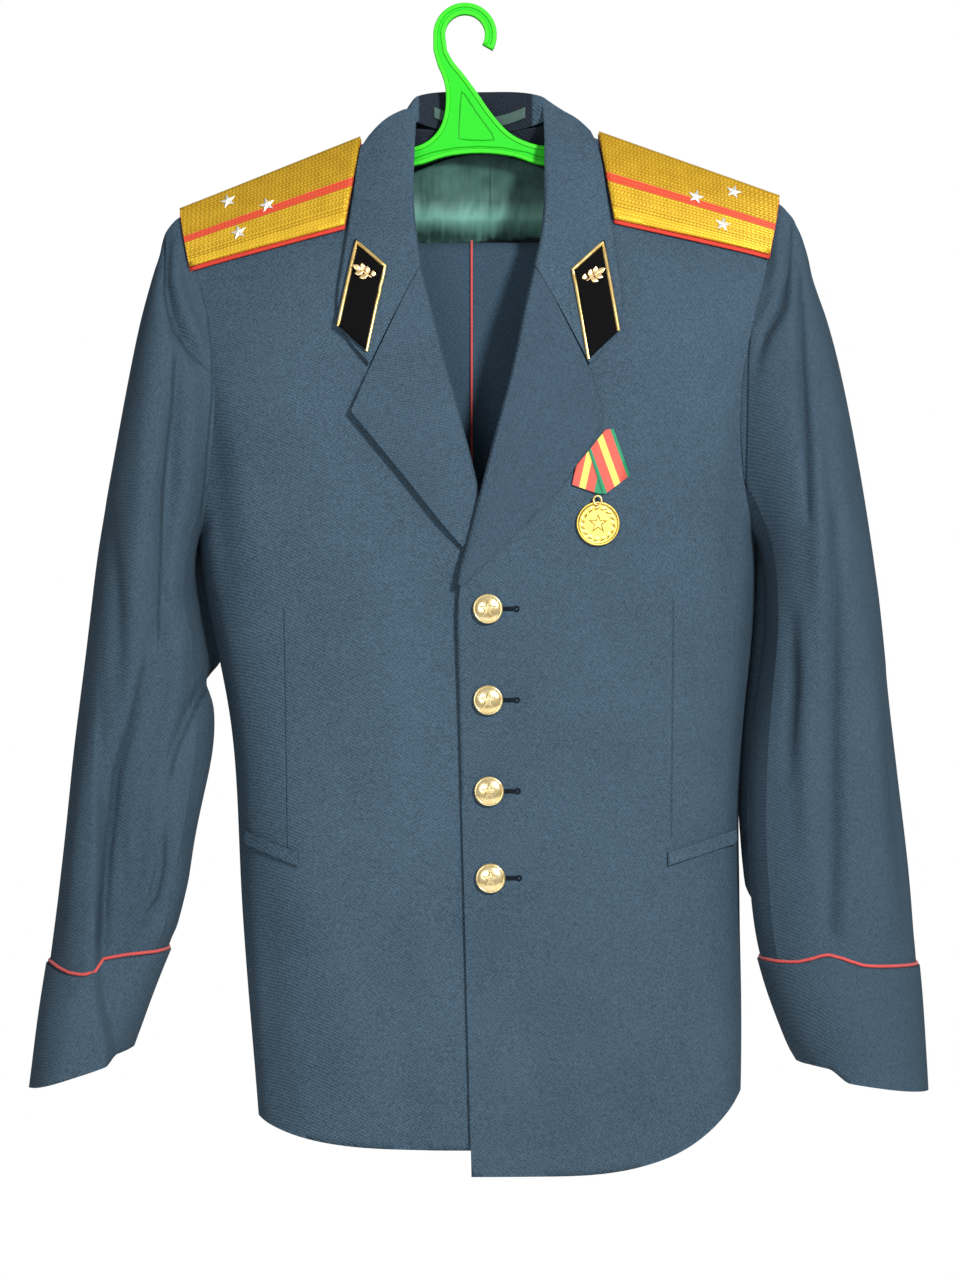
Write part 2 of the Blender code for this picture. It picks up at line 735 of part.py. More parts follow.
def cloth_wall(name, made, grid, normals, columns, outward):
    """A wall that is one piece of a ring, with the whole ring's normals at its seams."""
    count = len(grid[0])
    rows = len(grid)
    middle = columns[len(columns) // 2] % count
    flip = normals[rows // 2][middle].dot(Vector(outward)) < 0
    sign = -1 if flip else 1
    bm = bmesh.new()
    outer = [[bm.verts.new(point) for point in line] for line in made]
    inner = []
    for j in range(rows):
        line = []
        for k, i in enumerate(columns):
            point = made[j][k] - normals[j][i % count] * sign * CLOTH
            line.append(bm.verts.new(point))
        inner.append(line)
    last = len(columns) - 1
    for sheet in (outer, inner):
        for j in range(rows - 1):
            for i in range(last):
                bm.faces.new((sheet[j][i], sheet[j][i + 1], sheet[j + 1][i + 1], sheet[j + 1][i]))
    for i in range(last):
        for j in (0, rows - 1):
            bm.faces.new((outer[j][i], outer[j][i + 1], inner[j][i + 1], inner[j][i]))
    for j in range(rows - 1):
        for i in (0, last):
            bm.faces.new((outer[j][i], outer[j + 1][i], inner[j + 1][i], inner[j][i]))
    finish(name, bm, "wool")


def make_cuff(side):
    """A turned-back cuff round the sleeve's end, with piping along its top edge."""
    count = len(armhole_ring(side))
    name = SIDE_NAME[side]
    lines = [sleeve_ring(side, ring, count) for ring in CUFF_RINGS[side]]
    wall(f"cuff_{name}", shift(lines), CLOTH, "wool", None, ring=True)
    top = CUFF_RINGS[side][0]
    rim = sleeve_ring(side, top, count)
    middle = sum(rim, Vector()) / count
    points = []
    for point in rim:
        outward = Vector((point.x - middle.x, point.y - middle.y, 0)).normalized()
        lifted = point + Vector((JACKET_X, 0, PIPING_RADIUS + SEAM_GAP))
        points.append(lifted + outward * 0.4)
    tube(f"cuff_piping_{name}", points, PIPING_RADIUS, "piping", closed=True)


def roll_profile(base, out, up, stand, thick):
    """Points that turn from inside a panel's edge over the roll to the outer side."""
    return [
        base - out * CLOTH + up * 0.7,
        base - out * CLOTH + up * (0.5 * stand + 0.6),
        base - out * (CLOTH - 0.4) + up * (stand - 0.6),
        base + out * 0.6 + up * (stand + 1.2),
        base + out * (thick + 1.6) + up * (stand - 0.4),
    ]


def gorge_across(side):
    """The direction across the seam where the collar's end meets the lapel."""
    seam = Vector((side * (COLLAR[-1].edge_x - COLLAR[-1].x), 0, COLLAR[-1].edge_z - COLLAR[-1].z))
    return Vector((-seam.z, 0, seam.x)).normalized()


def make_lapel(side):
    """A lapel: it turns over the front's edge and lies on the chest."""
    grid = []
    for leaf in LAPELS[side]:
        x = neck_x(leaf.roll_z, side)
        base = Vector((x, front_y(x, leaf.roll_z, side), leaf.roll_z))
        line = roll_profile(base, Vector((0, -1, 0)), Vector((-side, 0, 0)), 2.9, FALL_THICK)
        start = line[-1]
        for share in LAPEL_STEPS:
            px = mix(start.x, leaf.edge_x, share)
            pz = mix(start.z, leaf.edge_z, share)
            crown = 1.2 * math.sin(math.pi * (0.25 + 0.75 * share))
            line.append(front_point(px, pz, side, LAPEL_LIFT + crown))
        grid.append(line)
    edges = {"top": (gorge_across(side), 0)}
    wall(f"lapel_{SIDE_NAME[side]}", shift(grid), FALL_THICK, "wool", (0, -1, 0), edges=edges)


def collar_line(station, side):
    """One line across the collar, from its seam over the roll to the fall's edge."""
    on_back = station.out < 150
    at_seam = 150 <= station.out < 200
    x = side * station.x
    if station.out >= 262 and station.z > UPPER_ROWS[-1].neck_z:
        x = neck_x(station.z, side)
    if at_seam:
        y = SEAM_Y
    elif on_back:
        y = body_y(x, station.z, BACK)
    else:
        y = front_y(x, station.z, side)
    angle = math.radians(station.out)
    out = Vector((side * -math.cos(angle), math.sin(angle), 0))
    tilt = math.radians(station.tilt)
    up = Vector((-side * math.sin(tilt), 0, math.cos(tilt)))
    line = roll_profile(Vector((x, y, station.z)), out, up, station.stand, FALL_THICK)
    start = line[-1]
    edge_x = side * station.edge_x
    if on_back:
        end = Vector((edge_x, body_y(edge_x, station.edge_z, BACK) + FALL_LIFT, station.edge_z))
    elif at_seam:
        end = Vector((edge_x, SEAM_Y, shoulder_z(edge_x) + FALL_LIFT))
    else:
        end = front_point(edge_x, station.edge_z, side, FALL_LIFT)
    for share in FALL_STEPS:
        point = start.lerp(end, share)
        if on_back or at_seam:
            point = point + out * 2.0 * math.sin(math.pi * share)
            if at_seam:
                point.z += 3.0 * math.sin(math.pi * share)
        else:
            flat = front_point(point.x, point.z, side, FALL_LIFT)
            point = point.lerp(flat, clamp(share * 2.2))
        line.append(point)
    return line


def make_collar():
    """The collar, in one piece from one gorge seam round the neck to the other."""
    right = [collar_line(station, RIGHT) for station in reversed(COLLAR)]
    left = [collar_line(station, LEFT) for station in COLLAR[1:]]
    edges = {"top": (gorge_across(RIGHT), 0), "bottom": (gorge_across(LEFT), 0)}
    wall("collar", shift(right + left), FALL_THICK, "wool", (0, 1, 0.3), edges=edges)


def board_point(side, along_share, down_share, lift, margin=0.0):
    """A point on a shoulder board: along from the neck, and down from the ridge.

    A down share of 1 is the board's lower edge, and -1 its edge behind the ridge.
    """
    down = max(down_share, 0.0)
    near = mix(BOARD_IN[0], BOARD_IN[1], down)
    far = mix(BOARD_OUT[0], BOARD_OUT[1], down)
    x = side * mix(near, far, along_share)
    depth = mix(BOARD_DEPTH_IN, BOARD_DEPTH_OUT, along_share)
    if down_share < 0:
        behind = -down_share * BOARD_OVER_RIDGE + margin
        return Vector((x, SEAM_Y + behind, shoulder_z(x) - 0.7 * behind + lift))
    drop = down * depth + (margin if down_share > 0.9 else 0.0)
    z = shoulder_z(x) - drop
    lean = clamp(drop / 20.0)
    normal = Vector((0, -mix(0.1, 0.78, lean), mix(1.0, 0.62, lean))).normalized()
    return Vector((x, body_y(x, z, FRONT), z)) + normal * lift


def make_board(side):
    """A shoulder board: a felt base with a braid panel and three stars on it."""
    name = SIDE_NAME[side]
    columns = 8
    layers = (("felt", FELT_LIFT, FELT_THICK, FELT_MARGIN), ("braid", BRAID_LIFT, BRAID_THICK, 0.0))
    for part, lift, thick, margin in layers:
        grid = []
        for down in BOARD_ROWS:
            shares = [i / (columns - 1) for i in range(columns)]
            grid.append([board_point(side, share, down, lift, margin) for share in shares])
        wall(f"board_{part}_{name}", shift(grid), thick, part, (0, -0.5, 1))
    for index, place in enumerate(BOARD_STARS[side]):
        make_star(f"board_star_{name}_{index + 1}", place, side)


def make_star(name, place, side):
    """A five-pointed star with ridged arms, seated on the braid."""
    drop = shoulder_z(place.x) - place.z
    x_share = clamp((abs(place.x) - BOARD_IN[0]) / (BOARD_OUT[0] - BOARD_IN[0]))
    depth = mix(BOARD_DEPTH_IN, BOARD_DEPTH_OUT, x_share)
    down = (drop + BOARD_LEAN_ADD) / depth
    here = board_point(side, x_share, down, BRAID_LIFT)
    beside = board_point(side, x_share + 0.05, down, BRAID_LIFT) - here
    below = board_point(side, x_share, down + 0.12, BRAID_LIFT) - here
    normal = beside.cross(below).normalized()
    if normal.y > 0:
        normal = -normal
    across_dir = beside.normalized() * side
    up_dir = normal.cross(across_dir).normalized()
    if up_dir.z < 0:
        up_dir = -up_dir
    centre = here + normal * (SEAM_GAP + 0.35) + Vector((JACKET_X, 0, 0))
    bm = bmesh.new()
    low = []
    for i in range(10):
        radius = STAR_RADIUS if i % 2 == 0 else STAR_RADIUS * 0.42
        angle = math.radians(36 * i)
        low.append(bm.verts.new(centre + across_dir * radius * math.sin(angle)
                                + up_dir * radius * math.cos(angle)))
    peak = bm.verts.new(centre + normal * STAR_HEIGHT)
    bm.faces.new(low)
    for i in range(10):
        bm.faces.new((low[i], low[(i + 1) % 10], peak))
    finish(name, bm, "silver", smooth=False)


def make_tab(side):
    """A collar tab: a velvet panel, its metal frame and a gilt sprig near its top."""
    name = SIDE_NAME[side]
    corners = TAB_CORNERS[side]

    def at(u, v, lift):
        top_x = mix(corners[0].x, corners[1].x, u)
        top_z = mix(corners[0].z, corners[1].z, u)
        low_x = mix(corners[3].x, corners[2].x, u)
        low_z = mix(corners[3].z, corners[2].z, u)
        return front_point(mix(top_x, low_x, v), mix(top_z, low_z, v), side, lift)

    grid = [[at(u, v, TAB_LIFT) for u in (0.0, 0.5, 1.0)] for v in (0.0, 0.25, 0.5, 0.75, 1.0)]
    wall(f"tab_velvet_{name}", shift(grid), TAB_THICK, "velvet", (0, -1, 0))
    edge = []
    for u, v in ((-0.08, -0.03), (0.5, -0.03), (1.08, -0.03), (1.08, 0.5), (1.08, 1.03),
                 (0.5, 1.03), (-0.08, 1.03), (-0.08, 0.5)):
        edge.append(at(u, v, TAB_LIFT - 0.2) + Vector((JACKET_X, 0, 0)))
    tube(f"tab_frame_{name}", edge, TAB_FRAME_RADIUS, "gilt", closed=True, sides=1)
    middle = at(0.5, SPRIG_DOWN, TAB_LIFT)
    make_sprig(name, side, middle.x, middle.z)


def make_sprig(name, side, centre_x, centre_z):
    """A small sprig of leaves in gilt metal, as one raised outline with ridges."""
    bm = bmesh.new()
    half = SPRIG_LENGTH / 2
    tilt = math.radians(28)
    low = []
    count = 14
    for i in range(count):
        angle = 2 * math.pi * i / count
        lobe = 1.0 if i % 2 == 0 else 0.66
        along_axis = half * lobe * math.cos(angle)
        across_axis = half * 0.52 * lobe * math.sin(angle)
        x = side * (along_axis * math.cos(tilt) - across_axis * math.sin(tilt))
        z = along_axis * math.sin(tilt) + across_axis * math.cos(tilt)
        spot = front_point(centre_x + x, centre_z + z, side, TAB_LIFT + 0.45)
        low.append(bm.verts.new(spot + Vector((JACKET_X, 0, 0))))
    top = front_point(centre_x, centre_z, side, TAB_LIFT + 2.2)
    peak = bm.verts.new(top + Vector((JACKET_X, 0, 0)))
    bm.faces.new(low)
    for i in range(count):
        bm.faces.new((low[i], low[(i + 1) % count], peak))
    finish(f"tab_sprig_{name}", bm, "gilt", smooth=False)


def turned(name, profile, centre, finish_name, segments, axis):
    """A round piece turned about an axis that points out of the cloth."""
    bm = bmesh.new()
    right = axis.cross(Vector((0, 0, 1))).normalized()
    upward = right.cross(axis).normalized()
    rings = []
    for radius, out in profile:
        if radius == 0:
            rings.append([bm.verts.new(centre + axis * out)])
            continue
        ring = []
        for i in range(segments):
            angle = 2 * math.pi * i / segments
            offset = right * radius * math.cos(angle) + upward * radius * math.sin(angle)
            ring.append(bm.verts.new(centre + offset + axis * out))
        rings.append(ring)
    for lower, upper in zip(rings, rings[1:]):
        for i in range(segments):
            k = (i + 1) % segments
            if len(lower) == 1:
                bm.faces.new((lower[0], upper[i], upper[k]))
            elif len(upper) == 1:
                bm.faces.new((lower[i], lower[k], upper[0]))
            else:
                bm.faces.new((lower[i], lower[k], upper[k], upper[i]))
    finish(name, bm, finish_name)


def make_button(index, place):
    """A domed gilt button on its shank, seated on the left front."""
    base = front_point(place.x, place.z, LEFT, SEAM_GAP + 0.2) + Vector((JACKET_X, 0, 0))
    profile = [(0, 0), (2.6, 0), (2.6, 1.6), (BUTTON_RADIUS - 0.8, 1.6), (BUTTON_RADIUS, 2.3),
               (BUTTON_RADIUS - 0.6, 3.0), (BUTTON_RADIUS * 0.72, 4.4),
               (BUTTON_RADIUS * 0.38, BUTTON_HEIGHT - 0.3), (0, BUTTON_HEIGHT)]
    turned(f"button_{index}", profile, base, "gilt", 16, Vector((0, -1, 0)))


def make_medal():
    """A medal: the ribbon block beside the lapel, its ring, and a rimmed disc."""
    def at(x, z, lift):
        return front_point(x, z, LEFT, lift) + Vector((JACKET_X, 0, 0))

    outline = [(place.x, place.z) for place in RIBBON]
    plate("medal_ribbon", outline, at, RIBBON_THICK + 0.9, RIBBON_THICK, "ribbon")
    base = at(MEDAL_DISC.x, MEDAL_DISC.z, 0.9)
    rim = MEDAL_RADIUS
    profile = [(0, 0), (rim, 0), (rim, MEDAL_THICK), (rim - 1.2, MEDAL_THICK),
               (rim - 1.8, MEDAL_THICK - 0.7), (0, MEDAL_THICK - 0.5)]
    axis = (at(MEDAL_DISC.x, MEDAL_DISC.z, 5.0) - base).normalized()
    turned("medal_disc", profile, base, "medal", 24, axis)
    ring_z = MEDAL_DISC.z + MEDAL_RADIUS + RING_RADIUS * 0.2
    points = []
    for i in range(12):
        angle = 2 * math.pi * i / 12
        reach = RING_RADIUS - RING_WIRE
        point = at(MEDAL_DISC.x + reach * math.cos(angle) * 0.9, ring_z, 0)
        points.append(point + Vector((0, -MEDAL_THICK - 2.0, reach * math.sin(angle))))
    tube("medal_ring", points, RING_WIRE, "medal", closed=True, sides=1)


def make_welt(side):
    """A pocket welt: a narrow strip of the same cloth, from the side towards the dart."""
    welt = WELTS[side]
    grid = []
    for rise in (0.5, -0.5):
        line = []
        for i in range(5):
            share = i / 4
            x = mix(welt.side_x, welt.dart_x, share)
            z = mix(welt.side_z, welt.dart_z, share) + rise * WELT_HEIGHT
            line.append(front_point(x, z, side, WELT_THICK + 0.9))
        grid.append(line)
    wall(f"pocket_welt_{SIDE_NAME[side]}", shift(grid), WELT_THICK, "wool", (0, -1, 0))


def make_lining():
    """The satin lining of the upper back, which shows through the neck opening."""
    grid = []
    for z in LINING_ROWS:
        line = []
        for i in range(11):
            x = mix(-LINING_HALF, LINING_HALF, i / 10)
            top = min(z, shoulder_z(x) - LINING_BELOW)
            line.append(Vector((x, body_y(x, top, BACK) - LINING_INSET, top)))
        grid.append(line)
    wall("lining", shift(grid), LINING_THICK, "lining", (0, 1, 0))


def make_loop():
    """The hanging loop: a short strap across the inside of the collar's stand."""
    stations = [(RIGHT, COLLAR[2]), (RIGHT, COLLAR[1]), (LEFT, COLLAR[0]), (LEFT, COLLAR[1]),
                (LEFT, COLLAR[2])]
    grid = []
    for rise in (0.5, -0.5):
        line = []
        for side, station in stations:
            x = side * station.x
            angle = math.radians(station.out)
            out = Vector((side * -math.cos(angle), math.sin(angle), 0))
            base = Vector((x, body_y(x, station.z, BACK), station.z))
            height = mix(LOOP_LOW, LOOP_HIGH, (abs(x) / LOOP_HALF) ** 2) + rise * LOOP_WIDTH
            line.append(base - out * (CLOTH + 0.5 + LOOP_THICK) + Vector((0, 0, height)))
        grid.append(line)
    wall("hanging_loop", shift(grid), LOOP_THICK, "loop", (0, -1, 0))


def trouser_path(radius, front_end, back_end):
    """Heights and depths from the front's lower end over the bar to the back's."""
    path = []
    front = [row.z for row in TROUSER_DROPS if row.z > front_end] + [front_end]
    back = [row.z for row in TROUSER_DROPS if row.z > back_end] + [back_end]
    for z in reversed(front):
        path.append((z, HANGER_Y - radius, FRONT))
    for step in range(1, ARC_STEPS):
        angle = math.pi * step / ARC_STEPS
        face = FRONT if step <= ARC_STEPS // 2 else BACK
        path.append((BAR_Z + radius * math.sin(angle), HANGER_Y - radius * math.cos(angle), face))
    for z in back:
        path.append((z, HANGER_Y + radius, BACK))
    return path


def trouser_grid(radius, front_end, back_end, narrower):
    """A sheet that hangs over the bar, as wide as the folded trousers at each height."""
    grid = []
    for z, y, face in trouser_path(radius, front_end, back_end):
        half = along(TROUSER_DROPS, min(z, BAR_Z), "front" if face == FRONT else "back") - narrower
        line = []
        for i in range(TROUSER_COLUMNS):
            share = 2.0 * i / (TROUSER_COLUMNS - 1) - 1.0
            line.append(Vector((TROUSER_X + half * share, y, z)))
        grid.append(line)
    return grid


def make_trousers():
    """Trousers hung over the bar: the outer leg, the folds inside it, and the waist."""
    outer = BAR_RADIUS + SEAM_GAP + STACK_THICK + SEAM_GAP + LEG_THICK
    leg = trouser_grid(outer, LEG_FRONT_END, TROUSER_BACK_END, 0.0)
    edges = {"top": ((0, 0, 1), 0), "bottom": ((0, 0, 1), 0)}
    wall("trouser_leg", shift(leg), LEG_THICK, "wool", (0, 0, 1), edges=edges)
    core = trouser_grid(outer - LEG_THICK - SEAM_GAP, FOLDS_FRONT_END, TROUSER_BACK_END,
                        FOLDS_NARROWER)
    wall("trouser_folds", shift(core), STACK_THICK, "wool", (0, 0, 1), edges=edges,
         layers=FOLD_LAYERS, step_in=FOLD_STEP)
    low_y = HANGER_Y + BAR_RADIUS + SEAM_GAP
    high_y = HANGER_Y + outer
    grid = []
    for z in (TROUSER_BACK_END - SEAM_GAP, TROUSER_BACK_END - WAISTBAND_HEIGHT):
        grid.append([Vector((TROUSER_X + WAIST_HALF * share, high_y, z))
                     for share in (-1, -0.5, 0, 0.5, 1)])
    wall("waistband", shift(grid), high_y - low_y, "wool", (0, 1, 0), layers=FOLD_LAYERS,
         step_in=FOLD_STEP, edges=edges)
    piping = []
    for z, y, _ in trouser_path(outer + SEAM_GAP + TROUSER_PIPING_RADIUS,
                                LEG_FRONT_END + TROUSER_PIPING_SHORT,
                                TROUSER_BACK_END + TROUSER_PIPING_SHORT):
        piping.append(Vector((TROUSER_X + JACKET_X, y, z)))
    tube("trouser_piping", piping, TROUSER_PIPING_RADIUS, "piping", sides=1)


def hook_arc(degrees, radius):
    """A point of the hook's arc, at an angle and a distance from its centre."""
    angle = math.radians(degrees)
    return (HOOK_CENTRE.x + radius * math.cos(angle), HOOK_CENTRE.z + radius * math.sin(angle))


def arm_edge(side, places, drop):
    """Points along an arm, at a drop below the line that it shares with the shoulder."""
    return [(side * x, shoulder_z(side * x) - ARM_CLEAR - drop) for x in places]


def arm_tip(side):
    """The rounded end of an arm, from its lower corner to its upper one."""
    low, high = arm_edge(side, [ARM_END], ARM_DEPTH) + arm_edge(side, [ARM_END], 0.0)
    return [low, (high[0] + side * ARM_NOSE, high[1] - ARM_DEPTH * 0.4), high]


def hanger_outline():
    """The hook, web and arms as one outline, from the hook's tip round the right arm."""
    turn = list(range(HOOK_TIP_DEGREES, 181, HOOK_STEP_DEGREES))
    outline = [hook_arc(degrees, HOOK_INNER + HOOK_STROKE) for degrees in turn]
    outline += NECK_DOWN
    outline += arm_edge(RIGHT, ARM_TOP, 0.0)
    outline += list(reversed(arm_tip(RIGHT)))
    outline += list(reversed(arm_edge(RIGHT, ARM_UNDER, ARM_DEPTH)))
    outline += WEB_FOOT
    outline += arm_edge(LEFT, ARM_UNDER, ARM_DEPTH)
    outline += arm_tip(LEFT)
    outline += list(reversed(arm_edge(LEFT, ARM_TOP, 0.0)))
    outline += NECK_UP
    outline += [hook_arc(degrees, HOOK_INNER) for degrees in reversed(turn)]
    return outline


def make_hanger():
    """The plastic hanger's hook, web and arms, cut from one plate with eased edges."""
    bm = bmesh.new()
    half = HANGER_THICK / 2
    face = [bm.verts.new((x + JACKET_X, HANGER_Y - half, z)) for x, z in hanger_outline()]
    plate_face = bm.faces.new(face)
    made = bmesh.ops.extrude_face_region(bm, geom=[plate_face])
    moved = [item for item in made["geom"] if isinstance(item, bmesh.types.BMVert)]
    bmesh.ops.translate(bm, verts=moved, vec=(0, HANGER_THICK, 0))
    rims = [edge for edge in bm.edges
            if abs(edge.verts[0].co.y - edge.verts[1].co.y) < 0.001 and len(edge.link_faces) == 2]
    bmesh.ops.bevel(bm, geom=rims, offset=HANGER_BEVEL, segments=1, profile=0.5,
                    affect="EDGES", clamp_overlap=True)
    bmesh.ops.triangulate(bm, faces=bm.faces)
    finish("hanger", bm, "hanger", smooth=False)
    points = []
    for side in (RIGHT, LEFT):
        foot = arm_edge(side, [BAR_HALF], ARM_DEPTH)[0]
        post = [Vector((foot[0], HANGER_Y, foot[1] - BAR_POST_GAP))]
        for degrees in (0, 30, 60, 90):
            angle = math.radians(degrees)
            reach = BAR_HALF - BAR_BEND + BAR_BEND * math.cos(angle)
            post.append(Vector((side * reach, HANGER_Y,
                                BAR_Z + BAR_BEND - BAR_BEND * math.sin(angle))))
        points += post if side == RIGHT else list(reversed(post))
    points = [point + Vector((JACKET_X, 0, 0)) for point in points]
    tube("hanger_bar", points, BAR_RADIUS, "hanger")


def build():
    for obj in list(bpy.data.objects):
        bpy.data.objects.remove(obj)
    make_back()
    make_collar()
    for side in (RIGHT, LEFT):
        make_front(side)
        make_sleeve(side)
        make_cuff(side)
        make_lapel(side)
        make_board(side)
        make_tab(side)
        make_welt(side)
    for index, place in enumerate(BUTTONS):
        make_button(index + 1, place)
    make_medal()
    make_lining()
    make_loop()
    make_trousers()
    make_hanger()


build()
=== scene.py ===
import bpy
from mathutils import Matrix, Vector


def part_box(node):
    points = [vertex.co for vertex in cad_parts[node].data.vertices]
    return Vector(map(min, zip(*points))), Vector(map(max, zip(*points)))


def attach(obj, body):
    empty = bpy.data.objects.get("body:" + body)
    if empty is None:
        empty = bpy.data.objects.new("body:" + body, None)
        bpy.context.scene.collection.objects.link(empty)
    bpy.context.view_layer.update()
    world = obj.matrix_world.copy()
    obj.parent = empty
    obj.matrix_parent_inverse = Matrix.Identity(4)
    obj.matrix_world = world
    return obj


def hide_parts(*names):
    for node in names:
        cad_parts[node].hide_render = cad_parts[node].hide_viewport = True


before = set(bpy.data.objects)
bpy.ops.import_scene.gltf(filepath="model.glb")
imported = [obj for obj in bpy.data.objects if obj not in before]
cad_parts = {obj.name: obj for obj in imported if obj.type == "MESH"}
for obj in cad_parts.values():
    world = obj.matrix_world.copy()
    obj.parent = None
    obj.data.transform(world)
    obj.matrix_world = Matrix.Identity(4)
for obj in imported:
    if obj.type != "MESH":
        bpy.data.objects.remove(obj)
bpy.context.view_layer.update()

# The studio: the uniform hangs in front of a pale wall of light, over a plain pale floor.
# The camera looks level at its middle from 2.6 m away. The main lamp is above the camera
# and to its right, and a broad one to its left opens up the shadows.
import math
from collections import namedtuple

import bmesh
import bpy
from mathutils import Matrix, Vector, noise
from mathutils.bvhtree import BVHTree

MM = 0.001
JACKET_X = 11.0
SCENE = bpy.context.scene.collection

CAMERA_PLACE = (0.0113, -2.6, -0.4719)
CAMERA_LENS = 64.61
CAMERA_SENSOR = 24.0
FLOOR_Z = -1.6
FLOOR_HALF = 2.0
Lamp = namedtuple("Lamp", "name place size power")
LAMPS = [
    Lamp("key", (1.2, -2.42, 0.5), 0.4, 89.0),
    Lamp("fill", (-0.9, -2.6, -0.2), 1.2, 20.0),
    Lamp("rear", (0.0, 2.4, 0.9), 1.6, 30.0),
]


class Wire:
    """A shader socket on which sums are written, or a bare tree to start nodes in."""

    def __init__(self, tree, socket=None):
        self.tree = tree
        self.socket = socket

    def node(self, kind, settings, sockets, out=0):
        """Add a node: its settings, then its sockets' values or links. out picks a socket."""
        made = self.tree.nodes.new(kind)
        for name, value in settings.items():
            if name == "stops":
                ramp = made.color_ramp
                while len(ramp.elements) < len(value):
                    ramp.elements.new(1.0)
                for element, (place, colour) in zip(ramp.elements, value):
                    element.position = place
                    element.color = (*colour, 1.0)
            elif name == "steps":
                made.color_ramp.interpolation = value
            else:
                setattr(made, name, value)
        for name, value in sockets.items():
            if isinstance(value, Wire):
                self.tree.links.new(value.socket, made.inputs[name])
            else:
                made.inputs[name].default_value = value
        if isinstance(out, tuple):
            return [Wire(self.tree, made.outputs[index]) for index in out]
        return Wire(self.tree, made.outputs[out])

    def sum(self, operation, first, second=0.0, clamped=False):
        settings = {"operation": operation, "use_clamp": clamped}
        return self.node("ShaderNodeMath", settings, {0: first, 1: second})

    def __add__(self, other):
        return self.sum("ADD", self, other)

    def __radd__(self, other):
        return self.sum("ADD", other, self)

    def __sub__(self, other):
        return self.sum("SUBTRACT", self, other)

    def __rsub__(self, other):
        return self.sum("SUBTRACT", other, self)

    def __mul__(self, other):
        return self.sum("MULTIPLY", self, other)

    def __rmul__(self, other):
        return self.sum("MULTIPLY", other, self)

    def __abs__(self):
        return self.sum("ABSOLUTE", self)

    def sine(self):
        return self.sum("SINE", self)

    def clamped(self):
        return self.sum("ADD", self, 0.0, clamped=True)

    def mixed(self, low, high):
        """A colour between two colours, by this value."""
        sockets = {0: self, 6: low, 7: high}
        return self.node("ShaderNodeMix", {"data_type": "RGBA"}, sockets, out=2)

    def placed(self):
        """The place on the object, in metres."""
        return self.node("ShaderNodeTexCoord", {}, {}, out="Object")

    def laid(self, name):
        """The place in a piece's own layout."""
        return self.node("ShaderNodeUVMap", {"uv_map": name}, {})

    def split(self):
        """The three parts of a place."""
        return self.node("ShaderNodeSeparateXYZ", {}, {"Vector": self}, out=(0, 1, 2))

    def cloud(self, scale, detail):
        """Soft noise over a place."""
        sockets = {"Vector": self, "Scale": scale, "Detail": detail}
        return self.node("ShaderNodeTexNoise", {}, sockets)

    def feed(self, shader, name):
        self.tree.links.new(self.socket, shader.inputs[name])


def blank(name, **values):
    """A new Principled material: the material, a wire in its tree, and its shader."""
    made = bpy.data.materials.new(name)
    made.use_nodes = True
    shader = made.node_tree.nodes["Principled BSDF"]
    for socket, value in values.items():
        shader.inputs[socket.replace("_", " ")].default_value = value
    return made, Wire(made.node_tree), shader


def relief(shader, height, depth_mm, strength=1.0):
    """Drive a shader's normal from a height whose unit is depth_mm."""
    sockets = {"Height": height, "Distance": depth_mm * MM, "Strength": strength}
    height.node("ShaderNodeBump", {}, sockets).feed(shader, "Normal")


def made_of(bm, name):
    """A new object in the scene from a bmesh."""
    mesh = bpy.data.meshes.new(name)
    bm.to_mesh(mesh)
    bm.free()
    piece = bpy.data.objects.new(name, mesh)
    SCENE.objects.link(piece)
    return piece


camera_data = bpy.data.cameras.new("camera")
camera_data.sensor_fit = "VERTICAL"
camera_data.sensor_height = CAMERA_SENSOR
camera_data.lens = CAMERA_LENS
camera = bpy.data.objects.new("camera", camera_data)
camera.location = CAMERA_PLACE
camera.rotation_euler = (math.radians(90), 0, 0)
SCENE.objects.link(camera)
bpy.context.scene.camera = camera

for lamp in LAMPS:
    light = bpy.data.lights.new(lamp.name, "AREA")
    light.shape = "DISK"
    light.size = lamp.size
    light.energy = lamp.power
    holder = bpy.data.objects.new(lamp.name, light)
    holder.location = lamp.place
    aim = Vector((0, 0, -0.45)) - Vector(lamp.place)
    holder.rotation_euler = aim.to_track_quat("-Z", "Y").to_euler()
    SCENE.objects.link(holder)

floor_bm = bmesh.new()
bmesh.ops.create_grid(floor_bm, x_segments=8, y_segments=8, size=FLOOR_HALF)
bmesh.ops.translate(floor_bm, verts=floor_bm.verts, vec=(0, 0, FLOOR_Z))
floor = made_of(floor_bm, "floor")
floor_finish, _, _ = blank("pale floor", Base_Color=(0.82, 0.82, 0.81, 1), Roughness=0.9)
floor.data.materials.append(floor_finish)

world = bpy.data.worlds.new("studio")
bpy.context.scene.world = world
world.use_nodes = True
sky = Wire(world.node_tree)
looked_at = sky.node("ShaderNodeLightPath", {}, {}, out="Is Camera Ray")
upward = sky.node("ShaderNodeTexCoord", {}, {}, out="Generated")
_, rear, rise = upward.split()
ambient = (rise * 0.45 - rear * 0.3 + 0.45).clamped().mixed((0.05, 0.045, 0.04, 1),
                                                          (0.36, 0.37, 0.39, 1))
seen = looked_at.mixed(ambient, (1.0, 1.0, 1.0, 1))
background = world.node_tree.nodes["Background"]
seen.feed(background, "Color")
background.inputs["Strength"].default_value = 1.0
bpy.context.scene.view_settings.view_transform = "Standard"

